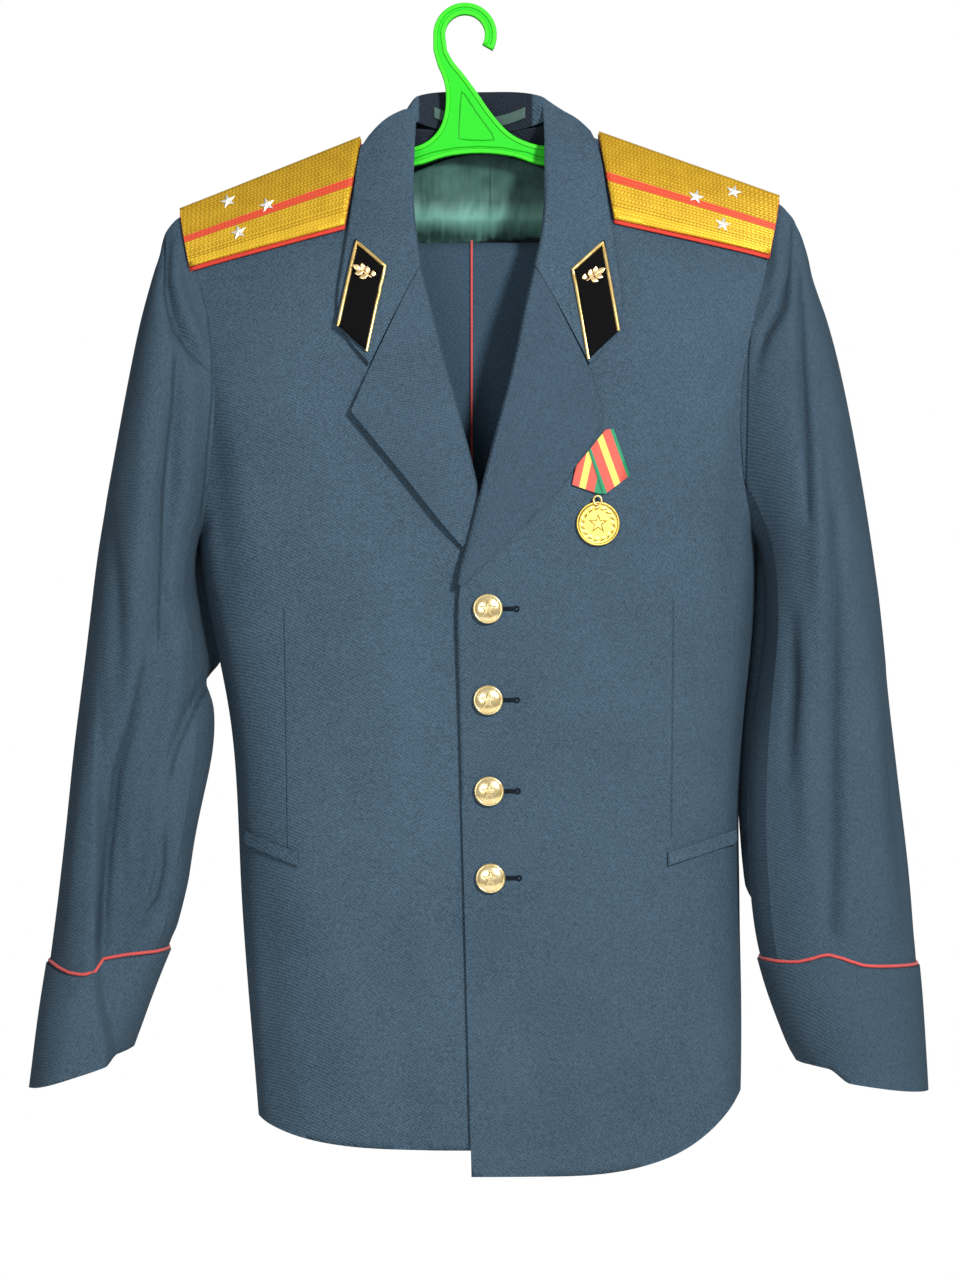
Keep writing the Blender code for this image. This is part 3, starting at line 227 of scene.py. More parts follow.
# The back is one panel of dark blue-green wool twill, pressed flat and joined to the
# fronts at the shoulder and side seams. All the wool pieces are cut from this cloth: each
# is its solid, rounded between its seams, with the soft hollows of worn cloth pressed in.
WOOL = (0.063, 0.109, 0.153, 1)
WOOL_SHADE = (0.023, 0.044, 0.065, 1)
TWILL_PITCH = 2.0
TWILL_CROSS = 1.3
TWILL_DEPTH = 0.10
TWILL_TONE = 0.17
WANDER_SCALE = 60.0
WANDER = 5.0
NAP_SCALE = 620.0
NAP_TONE = 1.9
NAP_DEPTH = 0.25
PATCH_SCALE = 14.0
PATCH_TONE = 0.5
NECK_HALF = 60.0
SEAM_END = 0.001
SEAM_FADE = 500.0
SEAM_DARK_AND_FOLD_PAINTED_SHADE = (0.010, 0.022, 0.034, 1)
# Painted shade: the same twill made darker for the inside of the back and collar near the neck.
INSIDE_PAINTED_SHADE_WOOL = (0.016, 0.023, 0.036, 1)
INSIDE_PAINTED_SHADE_DARK = (0.006, 0.010, 0.017, 1)
Seam = namedtuple("Seam", "x z to_x to_z half_width depth fade_in fade_out",
                  defaults=(SEAM_FADE, SEAM_FADE))
Crease = namedtuple("Crease", "path width depth")
CREASE_REACH = 3


def wool_cloth(name, twill_degrees=58.0, seams=(), wool=WOOL, shade=WOOL_SHADE, facing=None):
    """Wool twill, its diagonal lines at an angle, with seams pressed in dark and folds in painted
    shade.

    facing is a span across the jacket where the cloth is painted darker inside the neck: painted
    shade."""
    finish, tree, shader = blank(name, Roughness=0.9, Specular_IOR_Level=0.25)
    place = tree.placed()
    x, y, z = place.split()
    turn = math.radians(twill_degrees)
    turns = 2 * math.pi / (TWILL_PITCH * MM)
    phase = (x * math.cos(turn) + y * 0.5 + z * math.sin(turn)) * turns
    cross = (x * math.sin(turn) - z * math.cos(turn)) * (turns / TWILL_CROSS)
    wander = place.cloud(WANDER_SCALE, 2.0)
    twill = (phase + wander * WANDER).sine() + cross.sine() * 0.35
    nap = place.cloud(NAP_SCALE, 3.0)
    patch = place.cloud(PATCH_SCALE, 4.0)
    worn = (nap - 0.5) * NAP_TONE + (patch - 0.5) * PATCH_TONE
    tone = (0.5 + twill * TWILL_TONE + worn).clamped()
    height = twill * TWILL_DEPTH + nap * NAP_DEPTH
    colour = tone.mixed(shade, wool)
    for seam in seams:
        run_x, run_z = seam.to_x - seam.x, seam.to_z - seam.z
        length = math.hypot(run_x, run_z)
        way_x, way_z = run_x / length, run_z / length
        from_x, from_z = (seam.x + JACKET_X) * MM, seam.z * MM
        share = x * way_x + z * way_z - (from_x * way_x + from_z * way_z)
        off = abs(x * way_z - z * way_x - (from_x * way_z - from_z * way_x))
        inside = ((share + SEAM_END) * seam.fade_in).clamped()
        inside = inside * ((length * MM + SEAM_END - share) * seam.fade_out).clamped()
        line = (1.0 - off * (1.0 / (seam.half_width * MM))).clamped() * inside
        height = height - line * seam.depth
        # A seam or dart line is a dark joint; along a sleeve fold the darkening is painted shade in
        # the crease.
        colour = (line * (0.3 + 0.28 * seam.depth)).mixed(colour, SEAM_DARK_AND_FOLD_PAINTED_SHADE)
    # Within the span, painted shade darkens the cloth.
    if facing:
        low, high = ((edge + JACKET_X) * MM for edge in facing)
        within = ((x - low) * SEAM_FADE).clamped() * ((high - x) * SEAM_FADE).clamped()
        colour = within.mixed(colour, tone.mixed(INSIDE_PAINTED_SHADE_DARK, INSIDE_PAINTED_SHADE_WOOL))
    colour.feed(shader, "Base Color")
    relief(shader, height, 1.0)
    return finish


def rounded(node, levels=3, rim_degrees=50.0, merge=0.00002):
    """A copy of a solid, merged and in quads, rounded by subdivision with its rims kept."""
    bm = bmesh.new()
    bm.from_mesh(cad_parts[node].data)
    bmesh.ops.remove_doubles(bm, verts=bm.verts, dist=merge)
    bmesh.ops.join_triangles(bm, faces=bm.faces, angle_face_threshold=math.radians(40),
                             angle_shape_threshold=math.radians(80))
    rims = bm.edges.layers.float.new("crease_edge")
    for edge in bm.edges:
        if len(edge.link_faces) == 2 and edge.calc_face_angle() > math.radians(rim_degrees):
            edge[rims] = 1.0
    piece = made_of(bm, node + "_made")
    return settled(piece, "SUBSURF", levels=levels, render_levels=levels)


def settled(piece, kind, **settings):
    """Apply one modifier to a piece, so that its mesh holds the result."""
    modifier = piece.modifiers.new(kind.lower(), kind)
    for name, value in settings.items():
        setattr(modifier, name, value)
    seen_piece = piece.evaluated_get(bpy.context.evaluated_depsgraph_get())
    mesh = bpy.data.meshes.new_from_object(seen_piece)
    piece.modifiers.clear()
    piece.data = mesh
    return piece


def shaped(piece, offset):
    """Move each point by an offset, worked out in millimetres in the jacket's frame."""
    for vertex in piece.data.vertices:
        at = Vector((vertex.co.x / MM - JACKET_X, vertex.co.y / MM, vertex.co.z / MM))
        vertex.co += offset(at) * MM
    return piece


def dressed(piece, finish, slot, *nodes, sharp_degrees=45.0):
    """Give a piece its finish and its place on the frame. slot is not used."""
    piece.data.materials.clear()
    piece.data.materials.append(finish)
    piece.data.shade_smooth()
    piece.data.set_sharp_from_angle(angle=math.radians(sharp_degrees))
    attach(piece, "root")
    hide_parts(*nodes)
    return piece


def painted_shade_inside(piece, finish, low_z):
    """Give a piece's inner faces near the neck, above a height, a second finish: the twill darkened
    with painted shade.
    """
    piece.data.materials.append(finish)
    for face in piece.data.polygons:
        near_neck = abs(face.center.x - JACKET_X * MM) < NECK_HALF * MM
        if face.normal.y < -0.2 and face.center.z > low_z * MM and face.center.y > -6 * MM:
            face.material_index = 1 if near_neck else 0


def pressed(creases, x, z):
    """Sum of the troughs and ridges at a place seen from the front. A trough is negative."""
    total = 0.0
    for crease in creases:
        count = len(crease.path) - 1
        best = None
        for index, (start, end) in enumerate(zip(crease.path, crease.path[1:])):
            run_x, run_z = end[0] - start[0], end[1] - start[1]
            share = ((x - start[0]) * run_x + (z - start[1]) * run_z) / (run_x ** 2 + run_z ** 2)
            share = max(0.0, min(1.0, share))
            off = math.hypot(x - start[0] - share * run_x, z - start[1] - share * run_z)
            if best is None or off < best[0]:
                best = (off, (index + share) / count)
        if best[0] < CREASE_REACH * crease.width:
            ends = math.sin(math.pi * (0.1 + 0.8 * best[1]))
            total += crease.depth * math.exp(-(best[0] / crease.width) ** 2) * ends
    return total


def between(low, high, value):
    """A smooth step from 0 at low to 1 at high."""
    share = max(0.0, min(1.0, (value - low) / (high - low)))
    return share * share * (3 - 2 * share)


BODY_CREASES = [
    Crease([(-206, -262), (-196, -340), (-190, -430)], 9, -3.0),
    Crease([(-186, -280), (-174, -360), (-168, -430)], 12, 1.8),
    Crease([(202, -262), (194, -340), (188, -430)], 9, -2.6),
    Crease([(184, -290), (174, -370), (168, -440)], 12, 1.4),
    Crease([(-120, -660), (-104, -750), (-96, -850)], 20, 2.8),
    Crease([(-64, -690), (-58, -770), (-52, -850)], 16, -2.2),
    Crease([(60, -700), (66, -780), (74, -860)], 18, 2.6),
    Crease([(118, -660), (126, -750), (130, -850)], 16, -2.4),
    Crease([(-160, -650), (-156, -740), (-150, -830)], 12, -2.0),
    Crease([(170, -640), (176, -720), (176, -810)], 12, 1.8),
]
HANG_WAVE = 3.2
STEADY_ABOVE = (-380, -470)
SIDE_EDGE = 26


def hang(at):
    """How the body's cloth stands out or in: its creases and a slow wave down the panels."""
    keep = between(0, 60, abs(at.x - 8)) * between(*STEADY_ABOVE, at.z)
    wave = noise.noise(Vector((at.x * 0.016, at.y * 0.004, at.z * 0.005))) * HANG_WAVE
    return pressed(BODY_CREASES, at.x, at.z) + wave * keep


def body_offset(at):
    away = -1.0 if at.y < 0 else 1.0
    edge = between(0, SIDE_EDGE, abs(at.y))
    return Vector((0, away * hang(at) * edge, 0))


back_wool = wool_cloth("wool twill back", seams=[Seam(0, -92, 0, -845, 0.8, 0.5)])
back = dressed(shaped(rounded("back"), body_offset), back_wool, "wool", "back")
# Painted shade on the back's inner faces near the neck.
back_painted_shade_wool = wool_cloth("wool twill painted shade inside back", facing=(-NECK_HALF, NECK_HALF))
painted_shade_inside(back, back_painted_shade_wool, -124.0)

# The two fronts are cut from the same twill, with a dart down each from the chest to the
# pocket. The left one laps over the right one down to the hem and carries the buttons.
# The left front is the same twill painted a little darker: painted shade, not another cloth.
FRONT_WOOL_PAINTED_SHADE = {"right": WOOL, "left": (0.057, 0.099, 0.139, 1)}
FRONT_DARTS = {
    "right": [Seam(-145, -448, -143, -627, 0.9, 0.5)],
    "left": [Seam(143, -442, 142, -620, 0.9, 0.5)],
}
fronts = {}
for side in ("right", "left"):
    node = f"front_{side}"
    front_wool = wool_cloth(f"wool twill front {side}", seams=FRONT_DARTS[side],
                            wool=FRONT_WOOL_PAINTED_SHADE[side])
    fronts[side] = dressed(shaped(rounded(node), body_offset), front_wool, "wool", node)

# A pocket welt is a narrow strip of the twill, folded and stitched over the pocket's
# mouth between the side seam and the dart, with a fine line above and below it.
WELT_END = (175.0, 190.0)
welt_wool = wool_cloth("wool twill welt", twill_degrees=40.0)


def welt_offset(at):
    """The welt's outer end is tucked into the side seam."""
    end = between(*WELT_END, abs(at.x))
    return body_offset(at) + Vector((math.copysign(-3.0, at.x), 2.0, 0)) * end


for side in ("right", "left"):
    node = f"pocket_welt_{side}"
    welt = dressed(shaped(rounded(node), welt_offset), welt_wool, "wool", node)

# The sleeves are two-piece: a top sleeve round the outer arm and an under sleeve at the
# inner arm. They hang nearly flat, with drag lines at the head and long hollows. Their folds
# are pressed in the cloth and darkened with painted shade; the armhole's seam is pressed in
# and darkened as a seam.
Axis = namedtuple("Axis", "z x y")
SLEEVE_AXIS = {
    "right": [Axis(-150, -222, 0), Axis(-300, -242, 0), Axis(-404, -248, -2), Axis(-495, -250, -5),
              Axis(-589, -258, -11), Axis(-688, -273, -17), Axis(-790, -298, -24)],
    "left": [Axis(-150, 222, 0), Axis(-300, 246, 0), Axis(-404, 252, -2), Axis(-495, 258, -5),
             Axis(-589, 259, -11), Axis(-688, 266, -17), Axis(-790, 285, -24)],
}
SLEEVE_CREASES = {
    "right": [
        Crease([(-236, -172), (-235, -207), (-228, -234), (-221, -249), (-209, -266), (-196, -281)],
               5.5, -7.5),
        Crease([(-229, -176), (-227, -205), (-219, -230), (-211, -246), (-200, -260)], 6, 4.5),
        Crease([(-225, -247), (-226, -280), (-228, -322), (-231, -374), (-234, -416), (-236, -476)],
               5.5, -6.5),
        Crease([(-222, -194), (-211, -214), (-200, -226)], 4.5, -3.0),
        Crease([(-216, -290), (-218, -350), (-222, -430)], 8, 3.5),
        Crease([(-243, -235), (-248, -330), (-254, -450)], 9, 3.6),
        Crease([(-274, -380), (-268, -450), (-266, -530)], 7, -4.2),
        Crease([(-239, -464), (-259, -532), (-271, -571), (-276, -616), (-280, -662), (-282, -714)],
               5.5, -7.0),
        Crease([(-232, -590), (-234, -639), (-239, -662), (-250, -676), (-274, -682)], 5, -6.5),
        Crease([(-221, -600), (-224, -650), (-234, -682), (-256, -694)], 7, 3.5),
        Crease([(-198, -466), (-201, -502), (-212, -525), (-225, -555), (-233, -585)], 6, -5.5),
        Crease([(-219, -450), (-223, -500), (-236, -555)], 7, 4.0),
        Crease([(-288, -540), (-297, -620), (-304, -700)], 9, 3.5),
        Crease([(-252, -560), (-258, -610), (-258, -655)], 6, 2.4),
    ],
    "left": [
        Crease([(236, -160), (231, -197), (224, -224), (213, -245), (204, -272)], 4.5, -6.0),
        Crease([(226, -168), (220, -200), (211, -228)], 5.5, 3.0),
        Crease([(239, -176), (240, -217), (238, -259), (239, -301), (241, -343), (242, -380)],
               4.5, -6.0),
        Crease([(224, -203), (213, -215), (204, -228)], 4, -3.4),
        Crease([(220, -232), (212, -240), (206, -250)], 3.5, -2.4),
        Crease([(256, -230), (262, -310), (270, -390)], 9, 3.2),
        Crease([(248, -290), (251, -370), (249, -450)], 7, 3.4),
        Crease([(258, -340), (262, -384), (263, -426), (262, -470), (261, -548), (261, -640),
                (259, -700), (256, -762)], 7, -7.0),
        Crease([(241, -450), (241, -540), (242, -640)], 8, 4.0),
        Crease([(231, -450), (232, -505), (226, -570)], 5.5, -4.6),
        Crease([(284, -440), (291, -560), (298, -690)], 10, 4.0),
        Crease([(302, -500), (310, -600), (318, -690)], 6, -2.4),
    ],
}
# Lines along the sleeves' folds, darkened as painted shade; the last on each side is the armhole's
# seam.
SLEEVE_FOLDS = {
    "right": [
        [(-239, -160), (-237, -184), (-236, -211), (-232, -228), (-227, -243), (-220, -254),
         (-211, -264), (-198, -275)],
        [(-226, -251), (-228, -300), (-231, -331), (-234, -365), (-236, -426), (-238, -478)],
        [(-245, -480), (-259, -532), (-271, -571), (-276, -616), (-280, -662), (-282, -705)],
        [(-233, -610), (-234, -639), (-239, -662), (-250, -676)],
        [(-200, -480), (-203, -505), (-212, -525), (-225, -555), (-232, -582)],
        [(-211.5, -198), (-203, -227), (-199, -261), (-198.5, -286), (-200.5, -311), (-204, -353),
         (-209, -388)],
    ],
    "left": [
        [(237, -150), (231, -197), (224, -224), (213, -245), (205, -268)],
        [(240, -190), (239, -259), (240, -301), (241, -343), (243, -390)],
        [(260, -365), (263, -426), (262, -470), (261, -548), (261, -640), (259, -695)],
        [(232, -470), (232, -505), (228, -560)],
        [(211.5, -198), (203, -227), (199.5, -261), (198.5, -286), (198, -340), (198, -400)],
    ],
}
SHARP_FOLD = (1.7, 0.9)
SOFT_FOLD = (4.6, 0.4)
SEWN_FOLD = (1.4, 0.8)
FOLD_KINDS = {
    "right": [SHARP_FOLD, SHARP_FOLD, (2.6, 0.8), (2.6, 0.8), (2.6, 0.8), SEWN_FOLD],
    "left": [(2.4, 0.7), (2.8, 0.6), SOFT_FOLD, SOFT_FOLD, SEWN_FOLD],
}
FOLD_FADE = 65.0
ARMHOLE_EDGE = [Axis(-190, 213, 0), Axis(-213, 209, 0), Axis(-250, 202, 0), Axis(-281, 198, 0),
                Axis(-330, 196, 0), Axis(-400, 203, 0), Axis(-440, 210, 0)]
CLOSED_GAP = {"right": (-512.0, -482.0), "left": (-690.0, -655.0)}
CLOSED_BY = 14.0
CLOSED_FROM = (-380, -425)
CLOSED_INSIDE = (6, 26)
CLOSED_BEHIND = (0, 16)
ARMHOLE_FOOT = (-400, -370)
LOBE_LINE = (-282.5, -273.0)
LOBE_BACK = 15.0
LOBE_SAG = 10.5
CUFF_CREST_X = 257.0
CUFF_CREST = 7.5
ARMHOLE_CLOSER = 2.2
FRONT_HALF = (20, -30)
CUFF_TOP = (-640, -694)
CUFF_FOOT = {"right": (-780, -735), "left": (-800, -735)}
CUFF_HEM = {"right": (-752, -795), "left": (-762, -800)}
HIDDEN_SPREAD = 1.01
HIDDEN_DROP = 14.0
SLEEVE_WAVE = 2.4
SLEEVE_HALF = 18
WAVE_FROM = (-160, -330)
WAVE_TO = (-715, -660)
CREASE_TO = (-712, -690)


def between_rows(rows, z, column):
    """A column of a table of heights, read between its rows."""
    ordered = sorted(rows, key=lambda row: -row.z)
    if z >= ordered[0].z:
        return getattr(ordered[0], column)
    for high, low in zip(ordered, ordered[1:]):
        if z >= low.z:
            share = (high.z - z) / (high.z - low.z)
            return getattr(high, column) * (1 - share) + getattr(low, column) * share
    return getattr(ordered[-1], column)


def clear_of_armhole(at):
    """0 at the armhole's seam, and 1 a little way down the sleeve from it."""
    if at.z < ARMHOLE_EDGE[-1].z:
        return 1.0
    return between(1, 13, abs(at.x) - between_rows(ARMHOLE_EDGE, at.z, "x"))


def lobes(at):
    """The right cuff's inner lobe stands back, and its outer lobe sags below it in front."""
    line = LOBE_LINE[0] + (LOBE_LINE[1] - LOBE_LINE[0]) * between(-712, -780, at.z)
    down = between(-470, -690, at.z)
    lobe = between(line - 2, line + 4, at.x)
    front = between(*FRONT_HALF, at.y)
    inner = between(-222, line + 16, at.x)
    near = between(*CUFF_TOP, at.z) * between(*CUFF_FOOT["right"], at.z) * front
    hem = between(*CUFF_HEM["right"], at.z) * front
    bow = math.sin(math.pi * max(0.0, min(1.0, (at.x + 322) / 62)))
    return Vector((0, LOBE_BACK * lobe * down * front * inner,
                   -LOBE_SAG * bow * (1 - lobe) * near - 2.0 * lobe * near
                   - 3.0 * (1 - lobe) * hem + 3.5 * lobe * hem))


def crest(at):
    """The left cuff's top rises to a soft crest over the trough in front."""
    front = between(*FRONT_HALF, at.y)
    near = between(*CUFF_TOP, at.z) * between(*CUFF_FOOT["left"], at.z) * front
    hem = between(*CUFF_HEM["left"], at.z) * front
    rise = CUFF_CREST * math.exp(-((at.x - CUFF_CREST_X) / 17) ** 2)
    step = between(272, 256, at.x) * between(225, 240, at.x)
    return Vector((0, 0, (rise - 2.0) * near + 8.0 * step * hem))


def closing(side, at, axis):
    """Behind the gap at the body's side, the sleeve's inner back reaches in to close it."""
    sign = 1 if side == "right" else -1
    low, high = CLOSED_GAP[side]
    window = between(*CLOSED_FROM, at.z) * between(low, high, at.z)
    inside = between(*CLOSED_INSIDE, (at.x - axis.x) * sign)
    armhole = ARMHOLE_CLOSER * inside * between(*ARMHOLE_FOOT, at.z)
    behind = CLOSED_BY * window * inside * between(*CLOSED_BEHIND, at.y)
    return Vector((sign * (behind + armhole), 0, 0))


def sleeve_offset(side):
    def offset(at):
        axis = Vector((between_rows(SLEEVE_AXIS[side], at.z, "x"),
                       between_rows(SLEEVE_AXIS[side], at.z, "y"), 0))
        out = Vector((at.x - axis.x, at.y - axis.y, 0)).normalized()
        facing = between(SLEEVE_HALF, -SLEEVE_HALF, at.y)
        far = between(-SLEEVE_HALF, SLEEVE_HALF, at.y)
        mirrored = pressed(SLEEVE_CREASES[side], at.x * HIDDEN_SPREAD, at.z - HIDDEN_DROP)
        size = pressed(SLEEVE_CREASES[side], at.x, at.z) * facing + mirrored * far
        wave = noise.noise(Vector((at.x * 0.02, at.y * 0.02, at.z * 0.007 + 4.0))) * SLEEVE_WAVE
        keep = between(*WAVE_FROM, at.z) * between(*WAVE_TO, at.z)
        size = size * between(*CREASE_TO, at.z) * clear_of_armhole(at)
        move = out * (size + wave * keep)
        move = move + closing(side, at, axis)
        return move + (lobes(at) if side == "right" else crest(at))
    return offset


# The sleeves are the same twill painted darker, the left one more: painted shade on the sleeves.
SLEEVE_WOOL_PAINTED_SHADE = {"right": (0.050, 0.087, 0.121, 1), "left": (0.048, 0.083, 0.116, 1)}
sleeves = {}
for side in ("right", "left"):
    folds = []
    for path, kind in zip(SLEEVE_FOLDS[side], FOLD_KINDS[side]):
        for start, end in zip(path, path[1:]):
            folds.append(Seam(*start, *end, *kind, FOLD_FADE if start == path[0] else SEAM_FADE,
                              FOLD_FADE if end == path[-1] else SEAM_FADE))
    sleeve_wool = wool_cloth(f"wool twill sleeve {side}", twill_degrees=52.0, seams=folds,
                             wool=SLEEVE_WOOL_PAINTED_SHADE[side])
    for part in ("top", "under"):
        node = f"sleeve_{part}_{side}"
        sleeves[node] = dressed(shaped(rounded(node), sleeve_offset(side)), sleeve_wool, "wool",
                                node)

# The cuffs are turned back at the wrists, and a red corded piping is sewn in along the
# top edge of each one.
PIPING_RED = (0.700, 0.095, 0.085, 1)
PIPING_SHADE = (0.480, 0.045, 0.045, 1)
PIPING_TWIST = 1.6
PIPING_RADIUS = 1.3
PIPING_STEPS = 96
PIPING_SPREAD = 0.12
PIPING_OUT = 50.0
PIPING_REACH = 90.0
PIPING_LIFT = 0.35


def cord_cloth(name):
    """Red wool cord with its fine twist."""
    finish, tree, shader = blank(name, Roughness=0.75, Sheen_Weight=0.15)
    place = tree.placed()
    x, y, z = place.split()
    twist = ((x + y * 0.6 + z) * (2 * math.pi / (PIPING_TWIST * MM))).sine()
    (0.5 + twist * 0.5).mixed(PIPING_SHADE, PIPING_RED).feed(shader, "Base Color")
    relief(shader, twist, 0.12)
    return finish


def rod(name, points, radius_mm, closed=False, sides=3):
    """A round rod or thread along points, as a mesh."""
    curve = bpy.data.curves.new(name, "CURVE")
    curve.dimensions = "3D"
    curve.bevel_depth = radius_mm * MM
    curve.bevel_resolution = sides
    curve.use_fill_caps = not closed
    spline = curve.splines.new("POLY")
    spline.points.add(len(points) - 1)
    for target, point in zip(spline.points, points):
        target.co = (*point, 1.0)
    spline.use_cyclic_u = closed
    guide = bpy.data.objects.new(name, curve)
    SCENE.objects.link(guide)
    bpy.context.view_layer.update()
    seen_guide = guide.evaluated_get(bpy.context.evaluated_depsgraph_get())
    mesh = bpy.data.meshes.new_from_object(seen_guide)
    bpy.data.objects.remove(guide)
    mesh.name = name
    piece = bpy.data.objects.new(name, mesh)
    SCENE.objects.link(piece)
    return piece


def surface(*pieces):
    """A search tree over the faces of solids or finished pieces."""
    points, faces = [], []
    for piece in pieces:
        start = len(points)
        points += [vertex.co.copy() for vertex in piece.data.vertices]
        faces += [tuple(index + start for index in face.vertices) for face in piece.data.polygons]
    return BVHTree.FromPolygons(points, faces)


def piping_path(side, cloth):
    """The line where the piping lies, at its solid's height, on the finished cloth."""
    solid = [Vector((v.co.x / MM - JACKET_X, v.co.y / MM, v.co.z / MM))
             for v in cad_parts[f"cuff_piping_{side}"].data.vertices]
    middle = sum(solid, Vector()) / len(solid)
    angles = [math.atan2(point.y - middle.y, point.x - middle.x) for point in solid]
    offset = lobes if side == "right" else crest
    tree = surface(*cloth)
    path = []
    for step in range(PIPING_STEPS):
        angle = 2 * math.pi * step / PIPING_STEPS - math.pi
        gaps = [math.remainder(angle - other, 2 * math.pi) for other in angles]
        near = [(math.exp(-(gap / PIPING_SPREAD) ** 2), point) for gap, point in zip(gaps, solid)]
        total = sum(weight for weight, _ in near)
        spot = sum((point * weight for weight, point in near), Vector()) / total
        height = (spot.z + offset(spot).z) * MM
        out = Vector((spot.x - middle.x, spot.y - middle.y, 0)).normalized()
        start = Vector(((spot.x + JACKET_X) * MM, spot.y * MM, height)) + out * (PIPING_OUT * MM)
        hit, _, _, _ = tree.ray_cast(start, -out, PIPING_REACH * MM)
        if hit is not None:
            path.append(hit + out * (PIPING_LIFT * MM))
    return path


piping_cord = cord_cloth("red piping")
# Each cuff is the same twill painted at its own tone, the left one darker: painted shade.
CUFF_WOOL_PAINTED_SHADE = {"right": (0.056, 0.096, 0.133, 1), "left": (0.047, 0.081, 0.112, 1)}
for side in ("right", "left"):
    node = f"cuff_{side}"
    cuff_wool = wool_cloth(f"wool twill cuff {side}", twill_degrees=50.0, wool=CUFF_WOOL_PAINTED_SHADE[side])
    cuff = dressed(shaped(rounded(node), sleeve_offset(side)), cuff_wool, "wool", node)
    path = piping_path(side, (cuff, sleeves[f"sleeve_top_{side}"], sleeves[f"sleeve_under_{side}"]))
    cord = rod(f"cuff_piping_made_{side}", path, PIPING_RADIUS, closed=True)
    dressed(cord, piping_cord, "piping", f"cuff_piping_{side}", sharp_degrees=170.0)

# The collar stands round the neck, with painted shade on its inside, and falls over the boards'
# ends down to the gorge seams. The lapels turn over the fronts' edges from there to the top
# button, and the right one's lower edge stands off the front a little.
collar_wool = wool_cloth("wool twill collar", twill_degrees=36.0)
collar = dressed(rounded("collar"), collar_wool, "wool", "collar")
# Painted shade on the collar's inner faces near the neck.
collar_painted_shade_wool = wool_cloth("wool twill painted shade inside collar", twill_degrees=36.0, facing=(-47.0, 41.0))
painted_shade_inside(collar, collar_painted_shade_wool, -150.0)
LAPEL_FOOT_Z = -408.0
LAPEL_FOOT_TOP_X = -17.0
LAPEL_FOOT_CURL = 16.6


def foot_offset(at):
    """The left lapel's foot runs out to a point along the front's edge."""
    low = max(0.0, (LAPEL_FOOT_Z - at.z) / LAPEL_FOOT_CURL) ** 2
    return Vector((-0.62 * low * max(at.x - LAPEL_FOOT_TOP_X, 0.0), -0.9 * low, -8.0 * low))


LAPEL_TIP = (-94.0, -302.0)
LAPEL_LIFT = 4.5


def lift_offset(at):
    """The right lapel's lower edge stands off the front a little."""
    inward = (at.x - LAPEL_TIP[0]) * 0.735 + (at.z - LAPEL_TIP[1]) * 0.678
    return Vector((0, -LAPEL_LIFT * between(34, 0, inward) * between(4, -34, at.x), 0))


# Each lapel is the same twill painted at its own tone, the left one darker: painted shade.
LAPEL_WOOL_PAINTED_SHADE = {"right": (0.058, 0.100, 0.141, 1), "left": (0.049, 0.086, 0.124, 1)}
for side, angle in (("right", 80.0), ("left", 14.0)):
    lapel_wool = wool_cloth(f"wool twill lapel {side}", twill_degrees=angle,
                            wool=LAPEL_WOOL_PAINTED_SHADE[side])
    lapel = rounded(f"lapel_{side}")
    shaped(lapel, foot_offset if side == "left" else lift_offset)
    dressed(lapel, lapel_wool, "wool", f"lapel_{side}")

# The shoulder boards are stiff pads covered with gold braid on a red felt base, which
# shows along the lower edge. A red stripe is woven down the middle of the braid.
GOLD_THREAD = (0.830, 0.520, 0.035, 1)
GOLD_SHADE = (0.350, 0.180, 0.006, 1)
BRAID_RED = (0.600, 0.070, 0.030, 1)
BRAID_ROW = 2.4
BRAID_STITCH = 2.6
BOARD_LENGTH = 126.0
BOARD_WIDTH = 58.0
BRAID_LINES = (44.5, 48.5, 51.0)
BRAID_PLAIN = 52.0
Board = namedtuple("Board", "neck_z slope near far near_depth far_depth stripe stripe_half")
BOARDS = {
    "right": Board(-82.0, 0.400, 90.0, 222.0, 64.0, 47.0, 31.0, 3.4),
    "left": Board(-80.0, 0.355, 90.0, 222.0, 64.0, 47.0, 31.0, 3.4),
}


def lay_out(piece, place_of):
    """Lay a piece's cloth out flat in a UV map, in millimetres, by a function of place."""
    layout = piece.data.uv_layers.new(name="cloth")
    for loop in piece.data.loops:
        co = piece.data.vertices[loop.vertex_index].co
        layout.data[loop.index].uv = place_of(co.x / MM - JACKET_X, co.y / MM, co.z / MM)
    return piece


def board_layout(side):
    board = BOARDS[side]

    def place_of(x, y, z):
        share = (abs(x) - board.near) / (board.far - board.near)
        depth = board.near_depth + (board.far_depth - board.near_depth) * share
        ridge = board.neck_z - board.slope * (abs(x) - 50.0)
        down = (ridge + 5.0 - z) / depth * BOARD_WIDTH
        return (share * BOARD_LENGTH, down)
    return place_of


